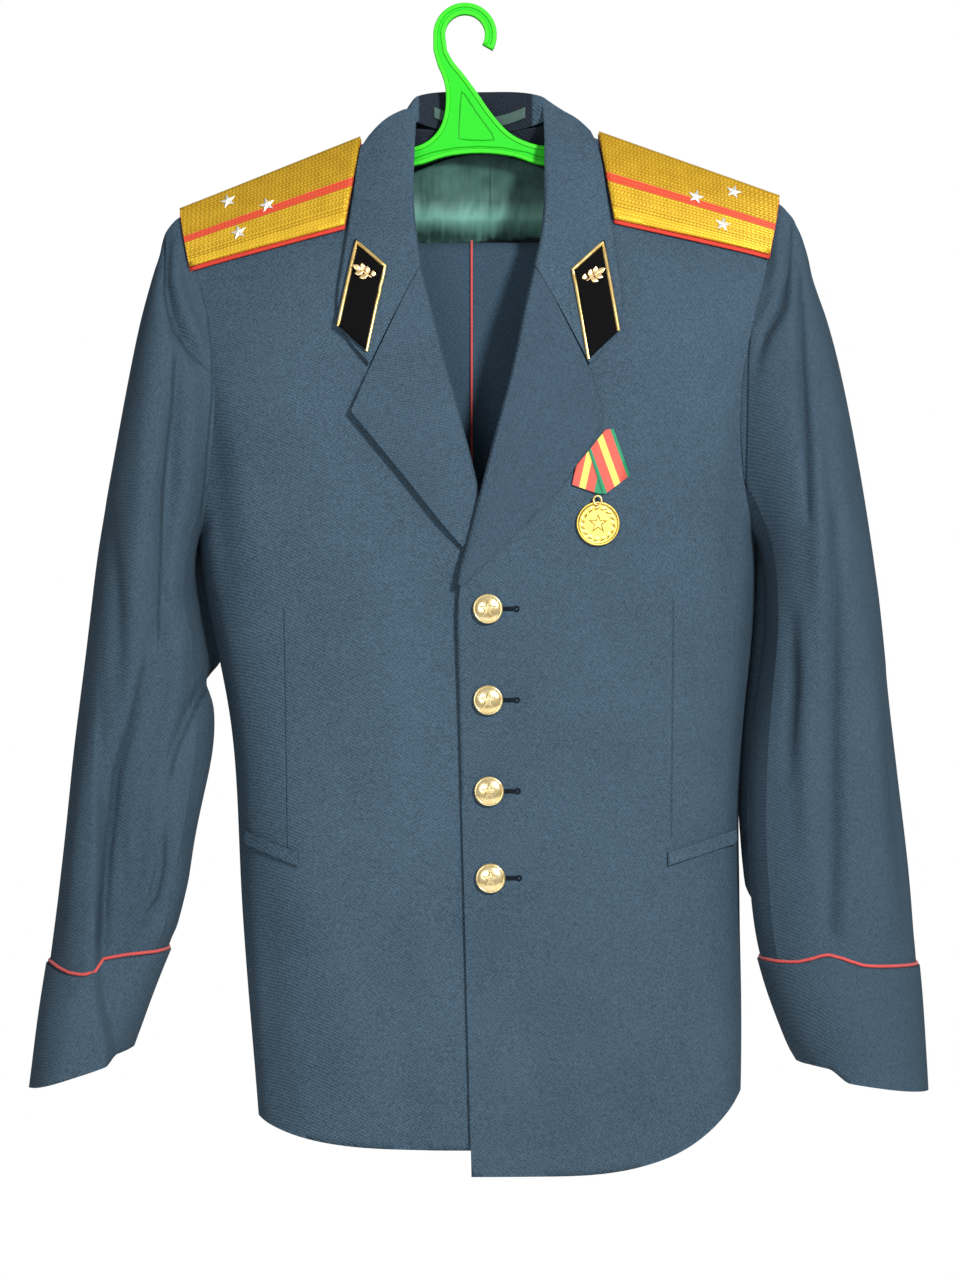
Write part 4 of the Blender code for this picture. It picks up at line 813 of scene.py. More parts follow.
def braid_cloth(side):
    """Gold metal thread woven in chevron rows, with a red stripe down the middle."""
    board = BOARDS[side]
    finish, tree, shader = blank(f"gold braid {side}", Roughness=0.42, Specular_IOR_Level=0.25)
    layout = tree.laid("cloth")
    u, v, _ = layout.split()
    row = v * (1.0 / BRAID_ROW)
    chevron = tree.sum("PINGPONG", row, 1.0)
    thread = ((u * (1.0 / BRAID_STITCH) + chevron * 0.5) * (2 * math.pi)).sine()
    rib = abs((row * math.pi).sine())
    groove = (1.0 - rib * 2.4).clamped()
    low_half = ((v - board.stripe) * 0.5).clamped()
    lines = 0.0
    for place in BRAID_LINES:
        lines = lines + (1.0 - abs(v - place) * 2.2).clamped()
    plain = ((v - BRAID_PLAIN) * 2.0).clamped()
    wander = layout.cloud(1.3, 3.0)
    broad = layout.cloud(0.09, 2.0)
    woven = thread * 0.17 + (wander - 0.5) * 1.1 - groove * 0.4 - lines * 0.45
    tone = 0.42 + low_half * 0.22 + (broad - 0.5) * 0.5 + woven * (1.0 - plain) + plain * 0.18
    gold = tone.clamped().mixed(GOLD_SHADE, GOLD_THREAD)
    away = abs(v - board.stripe)
    in_stripe = ((board.stripe_half - away) * 3.0).clamped()
    in_stripe.mixed(gold, BRAID_RED).feed(shader, "Base Color")
    (0.30 - in_stripe * 0.30).feed(shader, "Metallic")
    relief(shader, thread * 0.10 + rib * 0.2 - in_stripe * 0.2 - lines * 0.2, 1.0)
    return finish


def felt_cloth(name, felt, shade):
    """Wool felt with a short nap."""
    finish, tree, shader = blank(name, Roughness=0.95, Specular_IOR_Level=0.08)
    place = tree.placed()
    nap = place.cloud(1400.0, 4.0)
    nap.mixed(shade, felt).feed(shader, "Base Color")
    relief(shader, nap, 0.3)
    return finish


red_felt = felt_cloth("red felt", (0.700, 0.075, 0.050, 1), (0.460, 0.035, 0.028, 1))
BOARD_REACH = 4.5
BOARD_DROP = 1.6
BOARD_END = (196, 222)


def board_offset(at):
    """The board's outer end runs on over the sleeve's head."""
    end = between(*BOARD_END, abs(at.x))
    return Vector((math.copysign(BOARD_REACH * end, at.x), 0, -BOARD_DROP * end))


for side in ("right", "left"):
    braid = lay_out(rounded(f"board_braid_{side}", levels=2), board_layout(side))
    dressed(shaped(braid, board_offset), braid_cloth(side), "braid", f"board_braid_{side}")
    felt = shaped(rounded(f"board_felt_{side}", levels=2), board_offset)
    dressed(felt, red_felt, "felt", f"board_felt_{side}")

# Three small stars of silvered metal are pinned to each board, with a ridge down every
# arm.
silver, silver_tree, silver_shader = blank("silvered star", Metallic=0.45, Roughness=0.4)
star_grain = silver_tree.placed().cloud(1600.0, 3.0)
star_grain.mixed((0.66, 0.64, 0.56, 1), (0.95, 0.94, 0.88, 1)).feed(silver_shader, "Base Color")
relief(silver_shader, star_grain, 0.18)
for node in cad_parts:
    if node.startswith("board_star"):
        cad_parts[node].data.materials.clear()
        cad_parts[node].data.materials.append(silver)

# The collar tabs are black velvet in a ribbed gilt frame that is open at the foot, and a
# small gilt sprig of leaves is pinned near the top of each.
GILT = (1.000, 0.780, 0.330, 1)
GILT_SHADE = (0.820, 0.520, 0.150, 1)
TAB_CORNERS = {
    "right": [(-91, -177), (-70, -196), (-83, -260), (-104, -241)],
    "left": [(91, -178), (69, -199), (80, -266), (102, -245)],
}
TAB_FRAME_RADIUS = 1.35
CAST_FROM = -0.5
CAST_BY = 0.44


def gilt_metal(name, bright, shade, roughness):
    """Gilt metal, a little uneven from handling."""
    finish, tree, shader = blank(name, Metallic=0.75)
    place = tree.placed()
    worn = place.cloud(160.0, 4.0)
    fine = place.cloud(2200.0, 2.0)
    (worn * 1.5 - 0.25).clamped().mixed(shade, bright).feed(shader, "Base Color")
    (roughness + (worn - 0.5) * 0.2).feed(shader, "Roughness")
    relief(shader, fine, 0.05)
    return finish


def on_surface(tree, x, z, lift=0.0):
    """The front point of a surface at a place, lifted along its normal, in metres."""
    start = Vector(((x + JACKET_X) * MM, CAST_FROM, z * MM))
    point, normal, _, _ = tree.ray_cast(start, Vector((0, 1, 0)))
    if point is None:
        point, normal, _, _ = tree.find_nearest(start + Vector((0, CAST_BY, 0)))
        if normal.y > 0:
            normal = Vector((0, -1, 0))
        point = Vector((start.x, point.y, start.z))
    return point + normal * (lift * MM)


def joined(name, parts):
    """Several parts as one piece."""
    bm = bmesh.new()
    for part in parts:
        bm.from_mesh(part.data)
        bpy.data.objects.remove(part)
    bmesh.ops.recalc_face_normals(bm, faces=bm.faces)
    return made_of(bm, name)


def leaf(name, base, tip, width_mm, normal, thick_mm=1.0):
    """A pointed leaf from a base to a tip, ridged along its middle."""
    length = (tip - base).length
    along = (tip - base).normalized()
    across = normal.cross(along).normalized()
    bm = bmesh.new()
    bmesh.ops.create_uvsphere(bm, u_segments=16, v_segments=10, radius=0.5)
    for vertex in bm.verts:
        taper = 1.0 - abs(vertex.co.z * 2) ** 2.0
        spread = vertex.co.x * (0.35 + 0.65 * max(taper, 0.0))
        vertex.co = (base + along * ((vertex.co.z + 0.5) * length)
                     + across * (spread * width_mm * MM)
                     + normal * (vertex.co.y * thick_mm * MM))
    bmesh.ops.recalc_face_normals(bm, faces=bm.faces)
    return made_of(bm, name)


def blended(a, b, share):
    return (a[0] + (b[0] - a[0]) * share, a[1] + (b[1] - a[1]) * share)


frame_gilt = gilt_metal("gilt frame", GILT, GILT_SHADE, 0.30)
sprig_gilt = gilt_metal("gilt sprig", (0.98, 0.76, 0.42, 1), (0.80, 0.52, 0.22, 1), 0.26)
black_velvet = felt_cloth("black velvet", (0.006, 0.006, 0.007, 1), (0.001, 0.001, 0.001, 1))
SPRIG_DOWN = 0.24
LEAF_WIDE = 4.3
SPRIG_STEM = [(8.6, -6.6), (4.6, -3.6), (0.4, -0.4), (-3.6, 2.6)]
SPRIG_LEAVES = [(-3.2, 2.3, -9.6, 6.2), (5.2, -4.0, 5.4, 2.2), (5.4, -4.2, -0.6, -7.0),
                (1.2, -1.0, 1.0, 5.4), (1.4, -1.2, -4.8, -3.4), (-2.0, 1.4, -3.0, 7.6),
                (-1.8, 1.2, -8.2, -0.4)]
for side, sign in (("right", -1), ("left", 1)):
    velvet = surface(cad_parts[f"tab_velvet_{side}"])
    corners = TAB_CORNERS[side]
    patch = dressed(rounded(f"tab_velvet_{side}", levels=2), black_velvet, "velvet",
                    f"tab_velvet_{side}")
    path = [corners[3], corners[0], corners[1], corners[2]]
    rim = []
    for a, b in zip(path, path[1:]):
        for step in range(12):
            rim.append(on_surface(velvet, *blended(a, b, step / 12), lift=0.35))
    rim.append(on_surface(velvet, *path[-1], lift=0.35))
    rails = [rod("rail", rim, TAB_FRAME_RADIUS)]
    dressed(joined(f"tab_frame_made_{side}", rails), frame_gilt, "gilt", f"tab_frame_{side}")
    top, foot = blended(*corners[:2], 0.5), blended(*corners[2:], 0.5)
    middle = blended(top, foot, SPRIG_DOWN)
    seat = on_surface(velvet, *middle, lift=0.5)
    facing = (on_surface(velvet, *middle, lift=1.0) - on_surface(velvet, *middle)).normalized()
    leaves = []
    for number, (x0, z0, x1, z1) in enumerate(SPRIG_LEAVES):
        base = seat + Vector((-sign * x0 * MM, 0, z0 * MM)) + facing * 0.0003
        tip = seat + Vector((-sign * x1 * MM, 0, z1 * MM)) + facing * 0.0006
        leaves.append(leaf(f"leaf_{number}", base, tip, LEAF_WIDE, facing))
    stem = [seat + Vector((-sign * x * MM, 0, z * MM)) + facing * 0.0004 for x, z in SPRIG_STEM]
    leaves.append(rod("stem", stem, 0.6))
    dressed(joined(f"tab_sprig_made_{side}", leaves), sprig_gilt, "gilt", f"tab_sprig_{side}")

# The buttons are stamped from gilt sheet: a shallow dome inside a turned rim, with a
# raised star. Each is sewn to the right front through its shank and shows on the left one.
BUTTON_GILT = (1.00, 0.86, 0.50, 1)
BUTTON_SHADE = (0.86, 0.60, 0.22, 1)
BUTTON_STAR = 7.2
STAR_WAIST = 0.382
BUTTON_PROFILE = [(0.0, 5.6), (3.0, 5.5), (6.0, 5.0), (8.2, 4.3), (9.2, 3.8), (9.5, 3.5),
                  (9.8, 3.7), (10.4, 3.5), (10.9, 2.9), (11.0, 2.3), (10.6, 1.7), (10.0, 1.5),
                  (2.6, 1.4), (2.6, 0.0), (0.0, 0.0)]


def spun(name, profile, seat, axis, steps=64):
    """A round piece: a profile of radius and height, spun about an axis from its seat."""
    bm = bmesh.new()
    points = [bm.verts.new((radius * MM, 0, height * MM)) for radius, height in profile]
    edges = [bm.edges.new(pair) for pair in zip(points, points[1:])]
    bmesh.ops.spin(bm, geom=points + edges, cent=(0, 0, 0), axis=(0, 0, 1), dvec=(0, 0, 0),
                   angle=2 * math.pi, steps=steps, use_merge=True)
    bmesh.ops.remove_doubles(bm, verts=bm.verts, dist=0.000002)
    bmesh.ops.recalc_face_normals(bm, faces=bm.faces)
    layout = bm.loops.layers.uv.new("face")
    for face in bm.faces:
        for loop in face.loops:
            loop[layout].uv = (loop.vert.co.x / MM, loop.vert.co.y / MM)
    up = Vector((0, 0, 1))
    right = axis.cross(up).normalized()
    rise_way = right.cross(axis).normalized()
    turn = Matrix((right, rise_way, axis)).transposed().to_4x4()
    bmesh.ops.transform(bm, matrix=Matrix.Translation(seat) @ turn, verts=bm.verts)
    bmesh.ops.recalc_face_normals(bm, faces=bm.faces)
    return made_of(bm, name)


def star_mask(tree, u, v, radius, sharpness=1.2):
    """1 inside a five-pointed star round the middle of a face, and 0 outside it."""
    angle = tree.sum("ARCTAN2", u, v)
    reach = tree.sum("SQRT", u * u + v * v)
    fifth = 2 * math.pi / 5
    turned = tree.sum("PINGPONG", angle + 2 * math.pi, fifth / 2)
    inner = radius * STAR_WAIST
    edge_x = inner * math.sin(fifth / 2)
    edge_y = radius - inner * math.cos(fifth / 2)
    size = math.hypot(edge_x, edge_y)
    along = reach * tree.sum("COSINE", turned)
    across = reach * turned.sine()
    beyond = along * (edge_x / size) + across * (edge_y / size) - radius * edge_x / size
    return (0.0 - beyond * sharpness).clamped()


def button_metal():
    """Bright gilt with a star stamped up from the dome."""
    finish, tree, shader = blank("button gilt", Metallic=0.8, Roughness=0.16)
    layout = tree.laid("face")
    u, v, _ = layout.split()
    star = star_mask(tree, u, v, BUTTON_STAR)
    place = tree.placed()
    worn = place.cloud(220.0, 3.0)
    (worn * 1.4 - 0.2).clamped().mixed(BUTTON_SHADE, BUTTON_GILT).feed(shader, "Base Color")
    (0.14 + worn * 0.12 + star * 0.08).feed(shader, "Roughness")
    relief(shader, star, 0.55)
    return finish


button_gilt = button_metal()
for number in range(1, 5):
    low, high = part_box(f"button_{number}")
    seat = Vector(((low.x + high.x) / 2, high.y, (low.z + high.z) / 2))
    button = spun(f"button_made_{number}", BUTTON_PROFILE, seat, Vector((0, -1, 0)))
    dressed(button, button_gilt, "gilt", f"button_{number}", sharp_degrees=60.0)

# Each buttonhole is worked in dark twist round a slit in the left front, with an eye at
# the end that is farthest from the front's edge.
HOLE_START = 9.5
HOLE_END = 21.0
HOLE_HALF = 0.9
HOLE_EYE = 1.7
dark_twist = felt_cloth("dark twist", (0.012, 0.018, 0.026, 1), (0.003, 0.005, 0.008, 1))
left_front = surface(fronts["left"])
for number in range(1, 5):
    low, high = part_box(f"button_{number}")
    middle_x = (low.x + high.x) / 2 / MM - JACKET_X
    middle_z = (low.z + high.z) / 2 / MM
    loop = []
    for step in range(9):
        loop.append((HOLE_START + (HOLE_END - HOLE_START - 1.4) * step / 8, HOLE_HALF))
    for step in range(9):
        angle = math.radians(130 - 260 * step / 8)
        loop.append((HOLE_END + HOLE_EYE * math.cos(angle), HOLE_EYE * math.sin(angle)))
    for step in range(9):
        loop.append((HOLE_END - 1.4 - (HOLE_END - HOLE_START - 1.4) * step / 8, -HOLE_HALF))
    points = [on_surface(left_front, middle_x + x, middle_z + z, lift=0.35) for x, z in loop]
    slit = [on_surface(left_front, middle_x + HOLE_START + step, middle_z, lift=0.1)
            for step in range(int(HOLE_END - HOLE_START) + 1)]
    threads = [rod("worked edge", points, 0.75, closed=True), rod("slit", slit, 0.8)]
    dressed(joined(f"buttonhole_{number}", threads), dark_twist, "wool")

# The medal hangs from a folded ribbon block that is pinned behind the lapel's edge: a red
# ribbon with a yellow stripe and green edges, folded to a point. A wire ring joins it to
# the struck brass disc, which has a raised rim, a plain star and a wreath of leaves.
RIBBON_WIDE = 22.4
RIBBON_RED = (0.780, 0.090, 0.060)
RIBBON_YELLOW = (0.980, 0.720, 0.130)
RIBBON_GREEN = (0.006, 0.260, 0.110)
RIBBON_FOLD_SHADE = (0.004, 0.050, 0.028, 1)
RIBBON_STRIPES = [(0.0, RIBBON_GREEN), (0.09, RIBBON_RED), (0.38, RIBBON_YELLOW),
                  (0.60, RIBBON_RED), (0.90, RIBBON_GREEN)]
Edge = namedtuple("Edge", "x z way_x way_z")
RIBBON_RIGHT_EDGE = Edge(97.6, -316.0, -0.939, -0.343)
RIBBON_LEFT_EDGE = Edge(67.6, -344.0, 0.976, -0.215)
RIBBON_FOLD = Edge(79.3, -331.3, 0.949, 0.316)
MEDAL_BRASS = (0.86, 0.64, 0.16, 1)
MEDAL_SHADE = (0.46, 0.28, 0.040, 1)
MEDAL_STAR = 8.2
WREATH_RADIUS = 11.6
MEDAL_PROFILE = [(0.0, 1.7), (4.0, 1.7), (9.0, 1.65), (13.6, 1.6), (14.4, 1.7), (14.8, 2.2),
                 (15.3, 2.45), (15.9, 2.3), (16.25, 1.9), (16.3, 1.0), (16.1, 0.3), (15.6, 0.0),
                 (0.0, 0.0)]


def ribbon_cloth():
    """Ribbed ribbon with woven stripes that run along each of its two folded parts."""
    finish, tree, shader = blank("medal ribbon", Roughness=0.6, Sheen_Weight=0.1)
    place = tree.placed()
    x, _, z = place.split()

    def beyond(edge):
        start = (edge.x + JACKET_X) * edge.way_x + edge.z * edge.way_z
        return (x * edge.way_x + z * edge.way_z) * (1 / MM) - start

    on_right = (beyond(RIBBON_FOLD) * 6.0 + 0.5).clamped()
    over = beyond(RIBBON_RIGHT_EDGE) * on_right + beyond(RIBBON_LEFT_EDGE) * (1.0 - on_right)
    stripes = over * (1.0 / RIBBON_WIDE)
    woven = tree.node("ShaderNodeValToRGB", {"stops": RIBBON_STRIPES, "steps": "CONSTANT"},
                      {"Fac": stripes})
    ribs = ((x * 0.34 - z * 0.94) * (2 * math.pi / (0.9 * MM))).sine()
    fold_line = (1.0 - abs(beyond(RIBBON_FOLD)) * 1.1).clamped()
    shade = (0.12 + ribs * 0.08 + fold_line * 0.5).clamped()
    shade.mixed(woven, RIBBON_FOLD_SHADE).feed(shader, "Base Color")
    relief(shader, ribs * 0.06 - fold_line * 0.4, 1.0)
    return finish


def medal_metal():
    """Struck brass: a star inside a wreath of leaves, slightly dull in the hollows."""
    finish, tree, shader = blank("medal brass", Metallic=1.0)
    layout = tree.laid("face")
    u, v, _ = layout.split()
    reach = tree.sum("SQRT", u * u + v * v)
    angle = tree.sum("ARCTAN2", u, v)
    star = star_mask(tree, u, v, MEDAL_STAR, 1.0)
    band = (1.0 - abs(reach - WREATH_RADIUS) * 0.55).clamped()
    leaves = ((angle * 15.0 + reach * 1.1).sine() * 0.5 + 0.5) * band
    stamped = star + leaves * 0.8
    place = tree.placed()
    worn = place.cloud(300.0, 4.0)
    lit = (0.30 + stamped * 0.35 + worn * 0.45).clamped()
    lit.mixed(MEDAL_SHADE, MEDAL_BRASS).feed(shader, "Base Color")
    (0.42 - stamped * 0.08 + (worn - 0.5) * 0.2).feed(shader, "Roughness")
    relief(shader, stamped, 0.6)
    return finish


def facing_of(node):
    """The way that a flat piece faces: the mean of its front faces' normals."""
    total = Vector()
    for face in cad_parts[node].data.polygons:
        if face.normal.y < -0.7:
            total += face.normal * face.area
    return total.normalized()


ribbon = dressed(rounded("medal_ribbon", levels=2, rim_degrees=12.0), ribbon_cloth(), "ribbon",
                 "medal_ribbon")
medal_brass = medal_metal()
low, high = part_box("medal_disc")
medal_way = facing_of("medal_disc")
medal_seat = (low + high) / 2 - medal_way * (1.2 * MM)
medal = spun("medal_made", MEDAL_PROFILE, medal_seat, medal_way)
dressed(medal, medal_brass, "medal", "medal_disc", sharp_degrees=60.0)
ring_low, ring_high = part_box("medal_ring")
ring_middle = (ring_low + ring_high) / 2
ring_points = []
for step in range(28):
    angle = 2 * math.pi * step / 28
    ring_points.append(ring_middle + Vector((2.9 * math.cos(angle), 0, 3.3 * math.sin(angle))) * MM)
ring = rod("medal_ring_made", ring_points, 0.75, closed=True)
dressed(ring, gilt_metal("medal ring brass", GILT, GILT_SHADE, 0.3), "medal", "medal_ring")

# The lining of the upper back is green satin, gathered in soft upright wrinkles where it
# hangs below the hanger. The hanging loop is a short woven tape sewn inside the collar.
SATIN_GREEN = (0.165, 0.400, 0.330, 1)
SATIN_SHADE = (0.014, 0.048, 0.042, 1)
SATIN_SEAM_DARK_AND_GAP_SHADOW = (0.003, 0.007, 0.008, 1)
LINING_RUFFLE = 2.4
LINING_BILLOW = 6.5
LINING_GATHER = 2.4
LINING_CROSS = 0.5
LINING_POCKET_Z = -150
LINING_POCKET_HALF = 13
LINING_PAINTED_HIGHLIGHT_Z = -149.5
LINING_PAINTED_SHADE_Z = -150.5
LINING_SEAM = (19.0, -112.0, -141.0)
LINING_GAP_PAINTED_SHADOW_Z = -163.5


def lining_offset(at):
    """The satin billows out just above the trousers, below a flatter part, and gathers."""
    pocket = math.exp(-((at.z - LINING_POCKET_Z) / LINING_POCKET_HALF) ** 2)
    low_down = between(-112, -140, at.z)
    broad = noise.noise(Vector((at.x * 0.045, 2.0, at.z * 0.02)))
    slant = at.x - 0.35 * at.z
    gather = noise.noise(Vector((slant * 0.13, 7.0, at.z * 0.015)))
    cross = noise.noise(Vector((at.x * 0.015, 5.0, at.z * 0.11)))
    swell = (LINING_BILLOW * pocket + LINING_RUFFLE * (broad + 0.5)
             + LINING_GATHER * (gather + 0.5) * low_down + LINING_CROSS * (cross + 0.5))
    return Vector((0, -max(swell, 0.0), 0))


def satin_cloth():
    """Green satin with a soft sheen and fine gathers, a painted highlight band above the trousers,
    painted shade below it and in streaks along the gathers, and a painted shadow above its lower
    edge.
    """
    finish, tree, shader = blank("green satin", Sheen_Weight=0.1, Specular_IOR_Level=0.3)
    place = tree.placed()
    x, _, z = place.split()
    fine = tree.node("ShaderNodeMapping", {}, {"Vector": place, "Scale": (7.0, 1.0, 0.9)})
    gathers = fine.cloud(30.0, 4.0)
    broad = place.cloud(34.0, 3.0)
    wave = tree.node("ShaderNodeMapping", {}, {"Vector": place, "Scale": (1.0, 0.0, 0.0)})
    ripple = wave.cloud(75.0, 3.0)
    # A painted highlight band across the satin just above the trousers.
    bright = (1.0 - abs(z - LINING_PAINTED_HIGHLIGHT_Z * MM + (ripple - 0.5) * 0.008) * 75.0).clamped()
    # Painted shade below the highlight band; the gathers are painted as light and dark streaks,
    # stronger there.
    low = ((LINING_PAINTED_SHADE_Z * MM - z) * 60.0).clamped()
    gather_painted_shade = (gathers - 0.5) * (0.22 + low * 0.9)
    tone = (0.16 + (broad - 0.5) * 0.8 + bright * 0.70 + gather_painted_shade - low * 0.12).clamped()
    colour = tone.mixed(SATIN_SHADE, SATIN_GREEN)
    seam_x, seam_top, seam_foot = (value * MM for value in LINING_SEAM)
    seam = (1.0 - abs(x - seam_x) * 1400.0).clamped()
    seam = seam * ((seam_top - z) * SEAM_FADE).clamped() * ((z - seam_foot) * SEAM_FADE).clamped()
    # A painted shadow along the lining's lower edge, over the trousers, wider to the right.
    edge = LINING_GAP_PAINTED_SHADOW_Z * MM + (ripple - 0.5) * 0.011 + (x - 0.040) * 0.05
    hem = ((edge - z) * 500.0).clamped()
    # The seam line is a dark joint; the lower edge is painted shadow.
    dark = (seam * 0.7 + hem).clamped()
    dark.mixed(colour, SATIN_SEAM_DARK_AND_GAP_SHADOW).feed(shader, "Base Color")
    (0.50 + gathers * 0.2).feed(shader, "Roughness")
    relief(shader, gathers, 0.9)
    return finish


lining = dressed(shaped(rounded("lining", levels=4), lining_offset), satin_cloth(), "lining",
                 "lining")
loop_tape = felt_cloth("loop tape", (0.095, 0.150, 0.130, 1), (0.045, 0.085, 0.075, 1))
loop = dressed(rounded("hanging_loop"), loop_tape, "loop", "hanging_loop")

# The trousers hang folded over the bar: the outer leg in front and behind, the other leg
# and the turned-in folds between, and the waist below them at the back. A red piping is
# sewn in along the side seam.
trouser_wool = wool_cloth("wool twill trousers", twill_degrees=62.0, wool=(0.040, 0.080, 0.120, 1))

TROUSER_CUT = {"trouser_leg": (0.29, 0.96), "trouser_folds": (0.284, 0.96),
               "waistband": (0.292, 0.045)}
for node, flat in TROUSER_CUT.items():
    trousers = dressed(rounded(node, levels=2), trouser_wool, "wool", node)
trouser_cord = rounded("trouser_piping", levels=2, rim_degrees=170.0)
dressed(trouser_cord, piping_cord, "piping", "trouser_piping", sharp_degrees=170.0)

# The hanger is moulded in bright green plastic: a hook and a neck that open into a web,
# and two arms under the shoulders. A raised border runs round a recessed face, fine ribs
# mark a triangle and a band on the web, and a round bar below carries the trousers.
HANGER_GREEN = (0.040, 0.640, 0.010, 1)
HANGER_SHADE = (0.028, 0.580, 0.008, 1)
HANGER_FLOOR = (0.008, 0.560, 0.004, 1)
HANGER_STEP_PAINTED_SHADE = (0.004, 0.260, 0.003, 1)
HOOK_CENTRE = (-11.0, -15.0)
HOOK_INNER = 15.0
HOOK_STROKE = 9.0
HANGER_MID_Y = 2.0
HANGER_THICK = 6.4
HANGER_NECK_DOWN = [(-35, -26), (-32, -37), (-27.5, -48), (-25.5, -60), (-26.5, -75), (-31, -87),
                    (-40, -96), (-52, -100)]
HANGER_NECK_UP = [(50, -99), (33, -95), (20, -87), (8, -73), (-1, -60), (-12, -45), (-19.5, -36),
                  (-24.5, -27)]
HANGER_FOOT = [(-49, -114), (-25, -107), (0, -104.5), (25, -107), (49, -114)]
ARM_CLEAR = 7.6
ARM_DEPTH = 13.0
ARM_END = 166.0
HANGER_BEVEL = 0.8
HANGER_FLAT = 0.9
RECESS_RIM = 2.2
RECESS_STEP = 0.5
RECESS_DEPTH = 1.1
WEB_RIDGE = 0.55
WEB_TRIANGLE = [(-13.5, -58), (-10.5, -61), (-3.5, -72), (4.5, -83), (9.5, -90), (11, -94.5),
                (2, -95), (-8, -94.6), (-15.5, -93.6), (-15.2, -84), (-14.5, -70)]
BAND_RIB = [(-64, -116), (-50, -109), (-36, -104), (-18, -100.5), (0, -99.5), (18, -100.5),
            (36, -104), (50, -109), (64, -116)]


def smooth_line(points, steps=4):
    """Points on a smooth curve through the given points."""
    line = []
    for index in range(len(points) - 1):
        before = Vector(points[max(index - 1, 0)])
        start = Vector(points[index])
        end = Vector(points[index + 1])
        after = Vector(points[min(index + 2, len(points) - 1)])
        for step in range(steps):
            t = step / steps
            line.append(0.5 * (2 * start + (end - before) * t
                               + (2 * before - 5 * start + 4 * end - after) * t * t
                               + (3 * start - before - 3 * end + after) * t ** 3))
    line.append(Vector(points[-1]))
    return [(point.x, point.y) for point in line]


def arm_line(side, drop, places):
    board = BOARDS[side]
    sign = -1 if side == "right" else 1
    return [(sign * x, board.neck_z - board.slope * (x - 50.0) - ARM_CLEAR - drop) for x in places]


def hanger_outline():
    """The hanger's outline, from the hook's tip round by the right arm and the left one."""
    turn = list(range(-30, 181, 6))
    outline = []
    for degrees in turn:
        angle = math.radians(degrees)
        outline.append((HOOK_CENTRE[0] + (HOOK_INNER + HOOK_STROKE) * math.cos(angle),
                        HOOK_CENTRE[1] + (HOOK_INNER + HOOK_STROKE) * math.sin(angle)))
    places = (66, 100, 135, ARM_END)
    right_top = arm_line("right", 0.0, places)
    outline += smooth_line(HANGER_NECK_DOWN + right_top[:1])
    outline += right_top[1:]
    right_foot = list(reversed(arm_line("right", ARM_DEPTH, (70, 100, 135, ARM_END))))
    outline += [(right_top[-1][0] - 3, right_top[-1][1] - 5)]
    outline += right_foot[:-1]
    left_foot = arm_line("left", ARM_DEPTH, (70, 100, 135, ARM_END))
    outline += smooth_line(right_foot[-1:] + HANGER_FOOT + left_foot[:1])
    outline += left_foot[1:]
    left_top = list(reversed(arm_line("left", 0.0, places)))
    outline += [(left_top[0][0] + 3, left_top[0][1] - 5)]
    outline += left_top[:-1]
    outline += smooth_line(left_top[-1:] + HANGER_NECK_UP)
    for degrees in reversed(turn):
        angle = math.radians(degrees)
        outline.append((HOOK_CENTRE[0] + HOOK_INNER * math.cos(angle),
                        HOOK_CENTRE[1] + HOOK_INNER * math.sin(angle)))
    return outline


def green_plastic():
    """Moulded plastic, with painted shade darkening the step between its border and its sunk face.
    """
    finish, tree, shader = blank("green plastic", Specular_IOR_Level=0.25)
    place = tree.placed()
    _, y, _ = place.split()
    cloud = place.cloud(40.0, 3.0)
    floor_y = HANGER_THICK / 2 - RECESS_DEPTH
    above = abs(y * (1 / MM) - HANGER_MID_Y) - floor_y
    raised = (above * (2 / RECESS_DEPTH) - 0.6).clamped()
    # Painted shade along the step down to the sunk face.
    step = (1.0 - abs(above - RECESS_DEPTH * 0.5) * 2.6).clamped()
    plastic = cloud.mixed(HANGER_SHADE, HANGER_GREEN)
    face = raised.mixed(HANGER_FLOOR, plastic)
    (step * 0.85).mixed(face, HANGER_STEP_PAINTED_SHADE).feed(shader, "Base Color")
    (0.36 + cloud * 0.14).feed(shader, "Roughness")
    relief(shader, cloud, 0.25)
    return finish


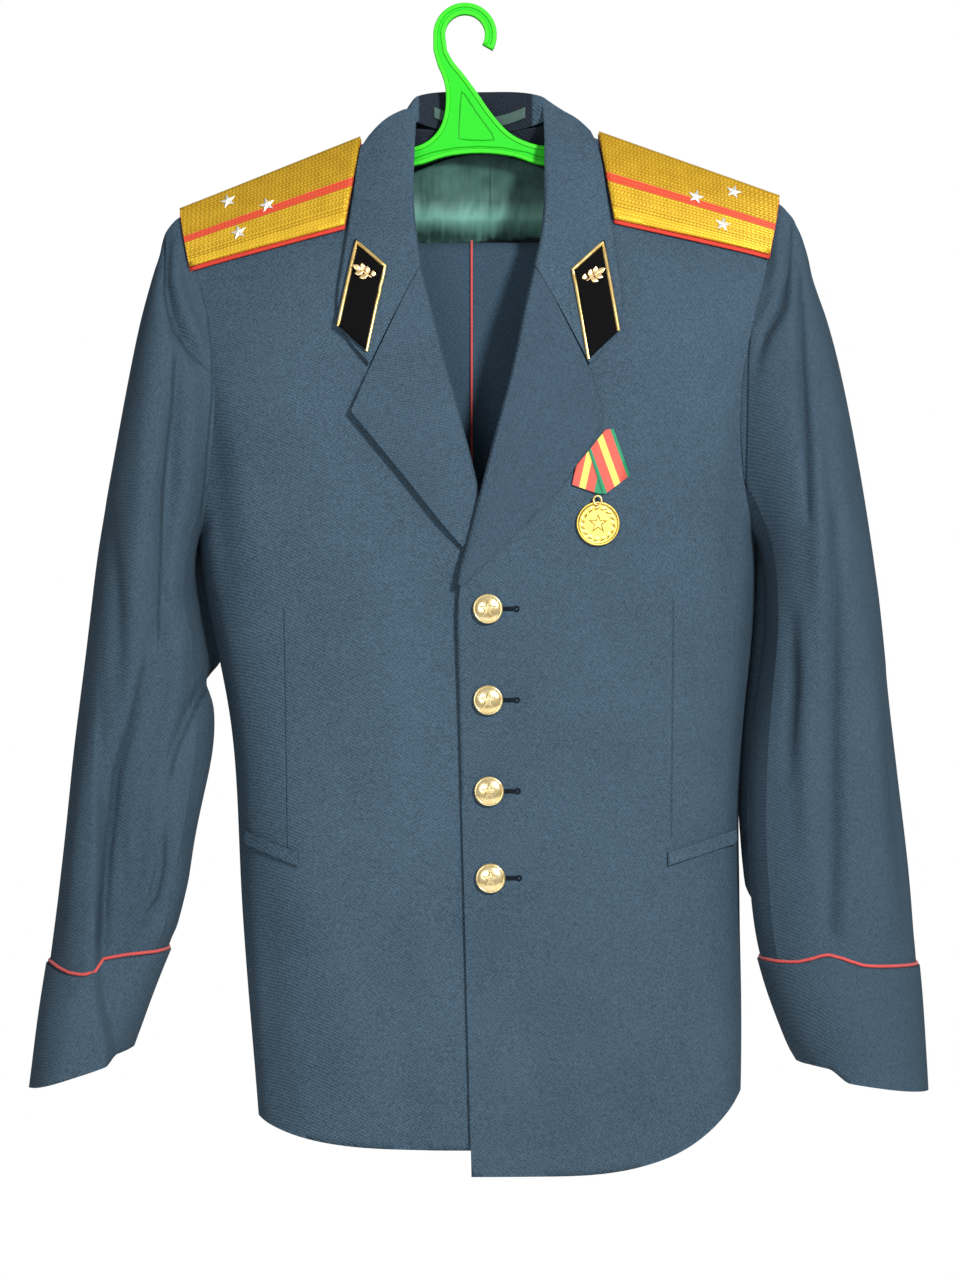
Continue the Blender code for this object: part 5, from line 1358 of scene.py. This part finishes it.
hanger_plastic = green_plastic()
hanger_bm = bmesh.new()
half = HANGER_THICK / 2 * MM
spots = [hanger_bm.verts.new(((x + JACKET_X) * MM, HANGER_MID_Y * MM - half, z * MM))
         for x, z in hanger_outline()]
face = hanger_bm.faces.new(spots)
grown = bmesh.ops.extrude_face_region(hanger_bm, geom=[face])
far_verts = [item for item in grown["geom"] if isinstance(item, bmesh.types.BMVert)]
bmesh.ops.translate(hanger_bm, verts=far_verts, vec=(0, HANGER_THICK * MM, 0))
bmesh.ops.recalc_face_normals(hanger_bm, faces=hanger_bm.faces)
flats = [item for item in hanger_bm.faces if len(item.verts) > 8]
bmesh.ops.inset_region(hanger_bm, faces=flats, thickness=HANGER_FLAT * MM, depth=0.0,
                       use_even_offset=False)
outer_edges = [edge for edge in hanger_bm.edges
               if all(len(item.verts) == 4 for item in edge.link_faces)
               and edge.calc_face_angle(0) > math.radians(60)
               and abs(edge.verts[0].co.y - edge.verts[1].co.y) < 0.00001]
bmesh.ops.bevel(hanger_bm, geom=outer_edges, offset=HANGER_BEVEL * MM, segments=3, profile=0.5,
                affect="EDGES", material=-1)
flats = [item for item in hanger_bm.faces if len(item.verts) > 60]
bmesh.ops.inset_region(hanger_bm, faces=flats, thickness=RECESS_RIM * MM, depth=0.0,
                       use_even_offset=False)
flats = [item for item in hanger_bm.faces if len(item.verts) > 60]
bmesh.ops.inset_region(hanger_bm, faces=flats, thickness=RECESS_STEP * MM, depth=-RECESS_DEPTH * MM,
                       use_even_offset=False)
bmesh.ops.triangulate(hanger_bm, faces=[item for item in hanger_bm.faces if len(item.verts) > 4])
hanger_parts = [made_of(hanger_bm, "hanger_body")]
for face_way in (-1, 1):
    level = (HANGER_MID_Y + face_way * (HANGER_THICK / 2 - RECESS_DEPTH + 0.1)) * MM
    for line, closed in ((WEB_TRIANGLE, True), (BAND_RIB, False)):
        ridge = [Vector(((x + JACKET_X) * MM, level, z * MM)) for x, z in line]
        hanger_parts.append(rod("ridge", ridge, WEB_RIDGE, closed=closed))
hanger_piece = joined("hanger_made", hanger_parts)
dressed(hanger_piece, hanger_plastic, "hanger", "hanger", sharp_degrees=30.0)
dressed(rounded("hanger_bar", levels=2, rim_degrees=60.0), hanger_plastic, "hanger", "hanger_bar")
